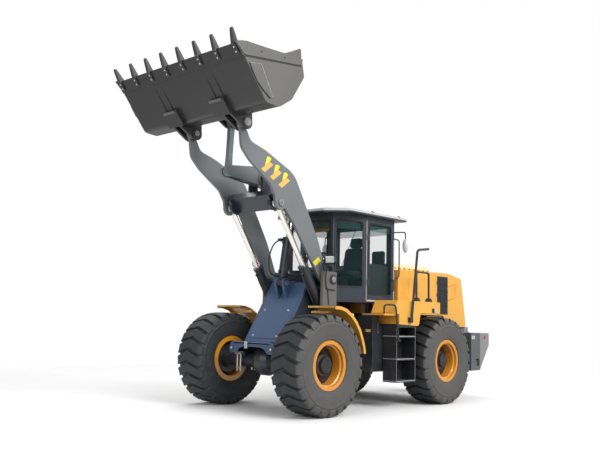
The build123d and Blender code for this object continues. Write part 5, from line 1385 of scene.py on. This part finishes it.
bothSides("hoodTrims", buildHoodTrims, "rear_frame", "seal_black")
bothSides("fenderLenses", buildFenderLens, "rear_frame", "edge_pale")
bothSides("grilleMesh", buildGrilleMesh, "rear_frame", "mesh_grey")
bothSides("rearLampFrames", buildRearLampFrames, "rear_frame", "seal_black")
for colour, low, high, lensFinish in hoodShape["lenses"]:
    bothSides("rearLens" + colour, buildRearLens(low, high), "rear_frame", lensFinish)


# side gear: tank gauge, plain plates, ladder edges, mirror faces, weight fittings
sideGear = {
    "tankFace": 1.0005, "gauge": ((-1.690, 1.0005, 1.272), (-1.676, 1.0105, 1.440), 0.003),
    "gaugeEnds": (1.282, 1.430), "drain": (-2.02, 0.90),
    "plate": ((-1.5395, 0.850, 1.292), (-1.537, 0.960, 1.338), 0.001),
    "seam": ((-1.5420, 0.9985, 1.000), (-1.5365, 1.0015, 1.400), 0.001),
    "treads": (0.440, 0.815, 1.205), "posts": (-2.388, -1.832), "studs": (9, 4), "studStep": 0.06}


def buildTankTrims(bm):
    face, (drainX, drainZ) = sideGear["tankFace"], sideGear["drain"]
    addBlocks(bm, [sideGear["gauge"]])
    for z in sideGear["gaugeEnds"]:
        addDisc(bm, at(-1.683, face, z), (0, 1, 0), 0.013, 0.020, 16, 0.003)
    addDisc(bm, at(drainX, face, drainZ), (0, 1, 0), 0.030, 0.014, 24, 0.004)


def buildLadderEdges(bm):
    for z in sideGear["treads"]:
        addBlock(bm, at(-2.389, 1.2985, z + 0.018), at(-1.831, 1.3025, z + 0.0305), 0.0015)
        addBlock(bm, at(-1.8315, 1.012, z + 0.018), at(-1.8285, 1.3025, z + 0.0305), 0.001)
    for x in sideGear["posts"]:
        addBlock(bm, at(x - 0.003, 1.2995, 0.445), at(x + 0.003, 1.3020, 1.40), 0.001)


def buildTreadStuds(bm):
    columns, rows = sideGear["studs"]
    for tread in sideGear["treads"]:
        for i in range(columns):
            for j in range(rows):
                spot = at(-2.35 + sideGear["studStep"] * i, 1.07 + sideGear["studStep"] * j, tread + 0.0302)
                addDisc(bm, spot, (0, 0, 1), 0.010, 0.003, 10, 0.0, 0.007)


mirrorShape = {
    "middle": (-2.520, 0.985, 2.870), "half": (0.040, 0.064, 0.130), "glass": (0.9, 0.88),
    "arm": [(-2.440, 0.735, 3.120), (-2.505, 0.960, 3.120), (-2.520, 0.985, 3.110), (-2.518, 0.985, 2.960)]}


def buildMirrorGlass(bm):
    x, y, z = mirrorShape["middle"]
    wide, tall = mirrorShape["half"][1:]
    shareTall, shareWide = mirrorShape["glass"]
    made = bmesh.ops.create_cone(bm, cap_ends=True, segments=40, radius1=1.0, radius2=1.0, depth=1.0)
    bmesh.ops.scale(bm, vec=(tall * shareTall, wide * shareWide, 0.004), verts=made["verts"])
    bmesh.ops.rotate(bm, verts=made["verts"], cent=(0, 0, 0), matrix=Matrix.Rotation(math.pi / 2, 3, "Y"))
    bmesh.ops.translate(bm, verts=made["verts"], vec=at(x - 0.0095, y, z))


def buildMirrorShell(bm):
    made = bmesh.ops.create_uvsphere(bm, u_segments=32, v_segments=16, radius=1.0)
    for vert in made["verts"]:
        vert.co.x = max(vert.co.x, -0.2)
    bmesh.ops.scale(bm, vec=mirrorShape["half"], verts=made["verts"])
    bmesh.ops.translate(bm, verts=made["verts"], vec=at(*mirrorShape["middle"]))


weightShape = {
    "plate": ((-4.700, 1.1502, 1.165), (-4.570, 1.1520, 1.240), 0.0008),
    "reflector": ((-5.120, 1.1422, 1.170), (-5.060, 1.1450, 1.235), 0.001),
    "pocket": ((-4.868, 1.1005, 0.634), (-4.712, 1.1035, 0.786), 0.001), "bolts": (-4.66, -4.80, -5.01)}


def buildWeightDetails(bm):
    for x in weightShape["bolts"]:
        addBolt(bm, at(x, 0.80, 1.2905), (0, 0, 1), 0.020)
    addBlocks(bm, [weightShape["pocket"]])


bothSides("tankTrims", buildTankTrims, "rear_frame", "edge_light")
bothSides("tankPlates", blocksOf(sideGear["plate"]), "rear_frame", "mark_amber")
bothSides("tankSeams", blocksOf(sideGear["seam"]), "rear_frame", "seam_brown")
bothSides("ladderEdges", buildLadderEdges, "rear_frame", "edge_pale")
bothSides("treadStuds", buildTreadStuds, "rear_frame", "edge_light")
mirrorShells = bothSides("mirrorShells", buildMirrorShell, "rear_frame", "lamp_white", True)
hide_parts("mirrors")
for side, name in ((1, "left"), (-1, "right")):
    addTube("mirrorArm_" + name, [at(x, side * y, z) for x, y, z in mirrorShape["arm"]], 0.011, "rear_frame",
            "seal_black")
bothSides("mirrorFaces", buildMirrorGlass, "rear_frame", "chrome_rod")
bothSides("weightPlates", blocksOf(weightShape["plate"]), "rear_frame", "edge_pale")
bothSides("weightReflectors", blocksOf(weightShape["reflector"]), "rear_frame", "lens_red")
oneSide("weightBolts", buildWeightDetails, "rear_frame", "edge_light")
print("rear frame done")

# bucket gussets beside the spill guard, and the weld line round each side plate's wear patch
def buildGussets(bm):
    addSidePlate(bm, bucketShape["gusset"]["side"], bucketShape["gusset"]["line"], 0.012, 0.002)


def buildWearLines(bm):
    for line in bucketShape["welds"]:
        addSidePlate(bm, bucketShape["side"], line, 0.002)


bothSides("spillGussets", buildGussets, "bucket", "side_steel")
bothSides("wearLines", buildWearLines, "bucket", "edge_pale")
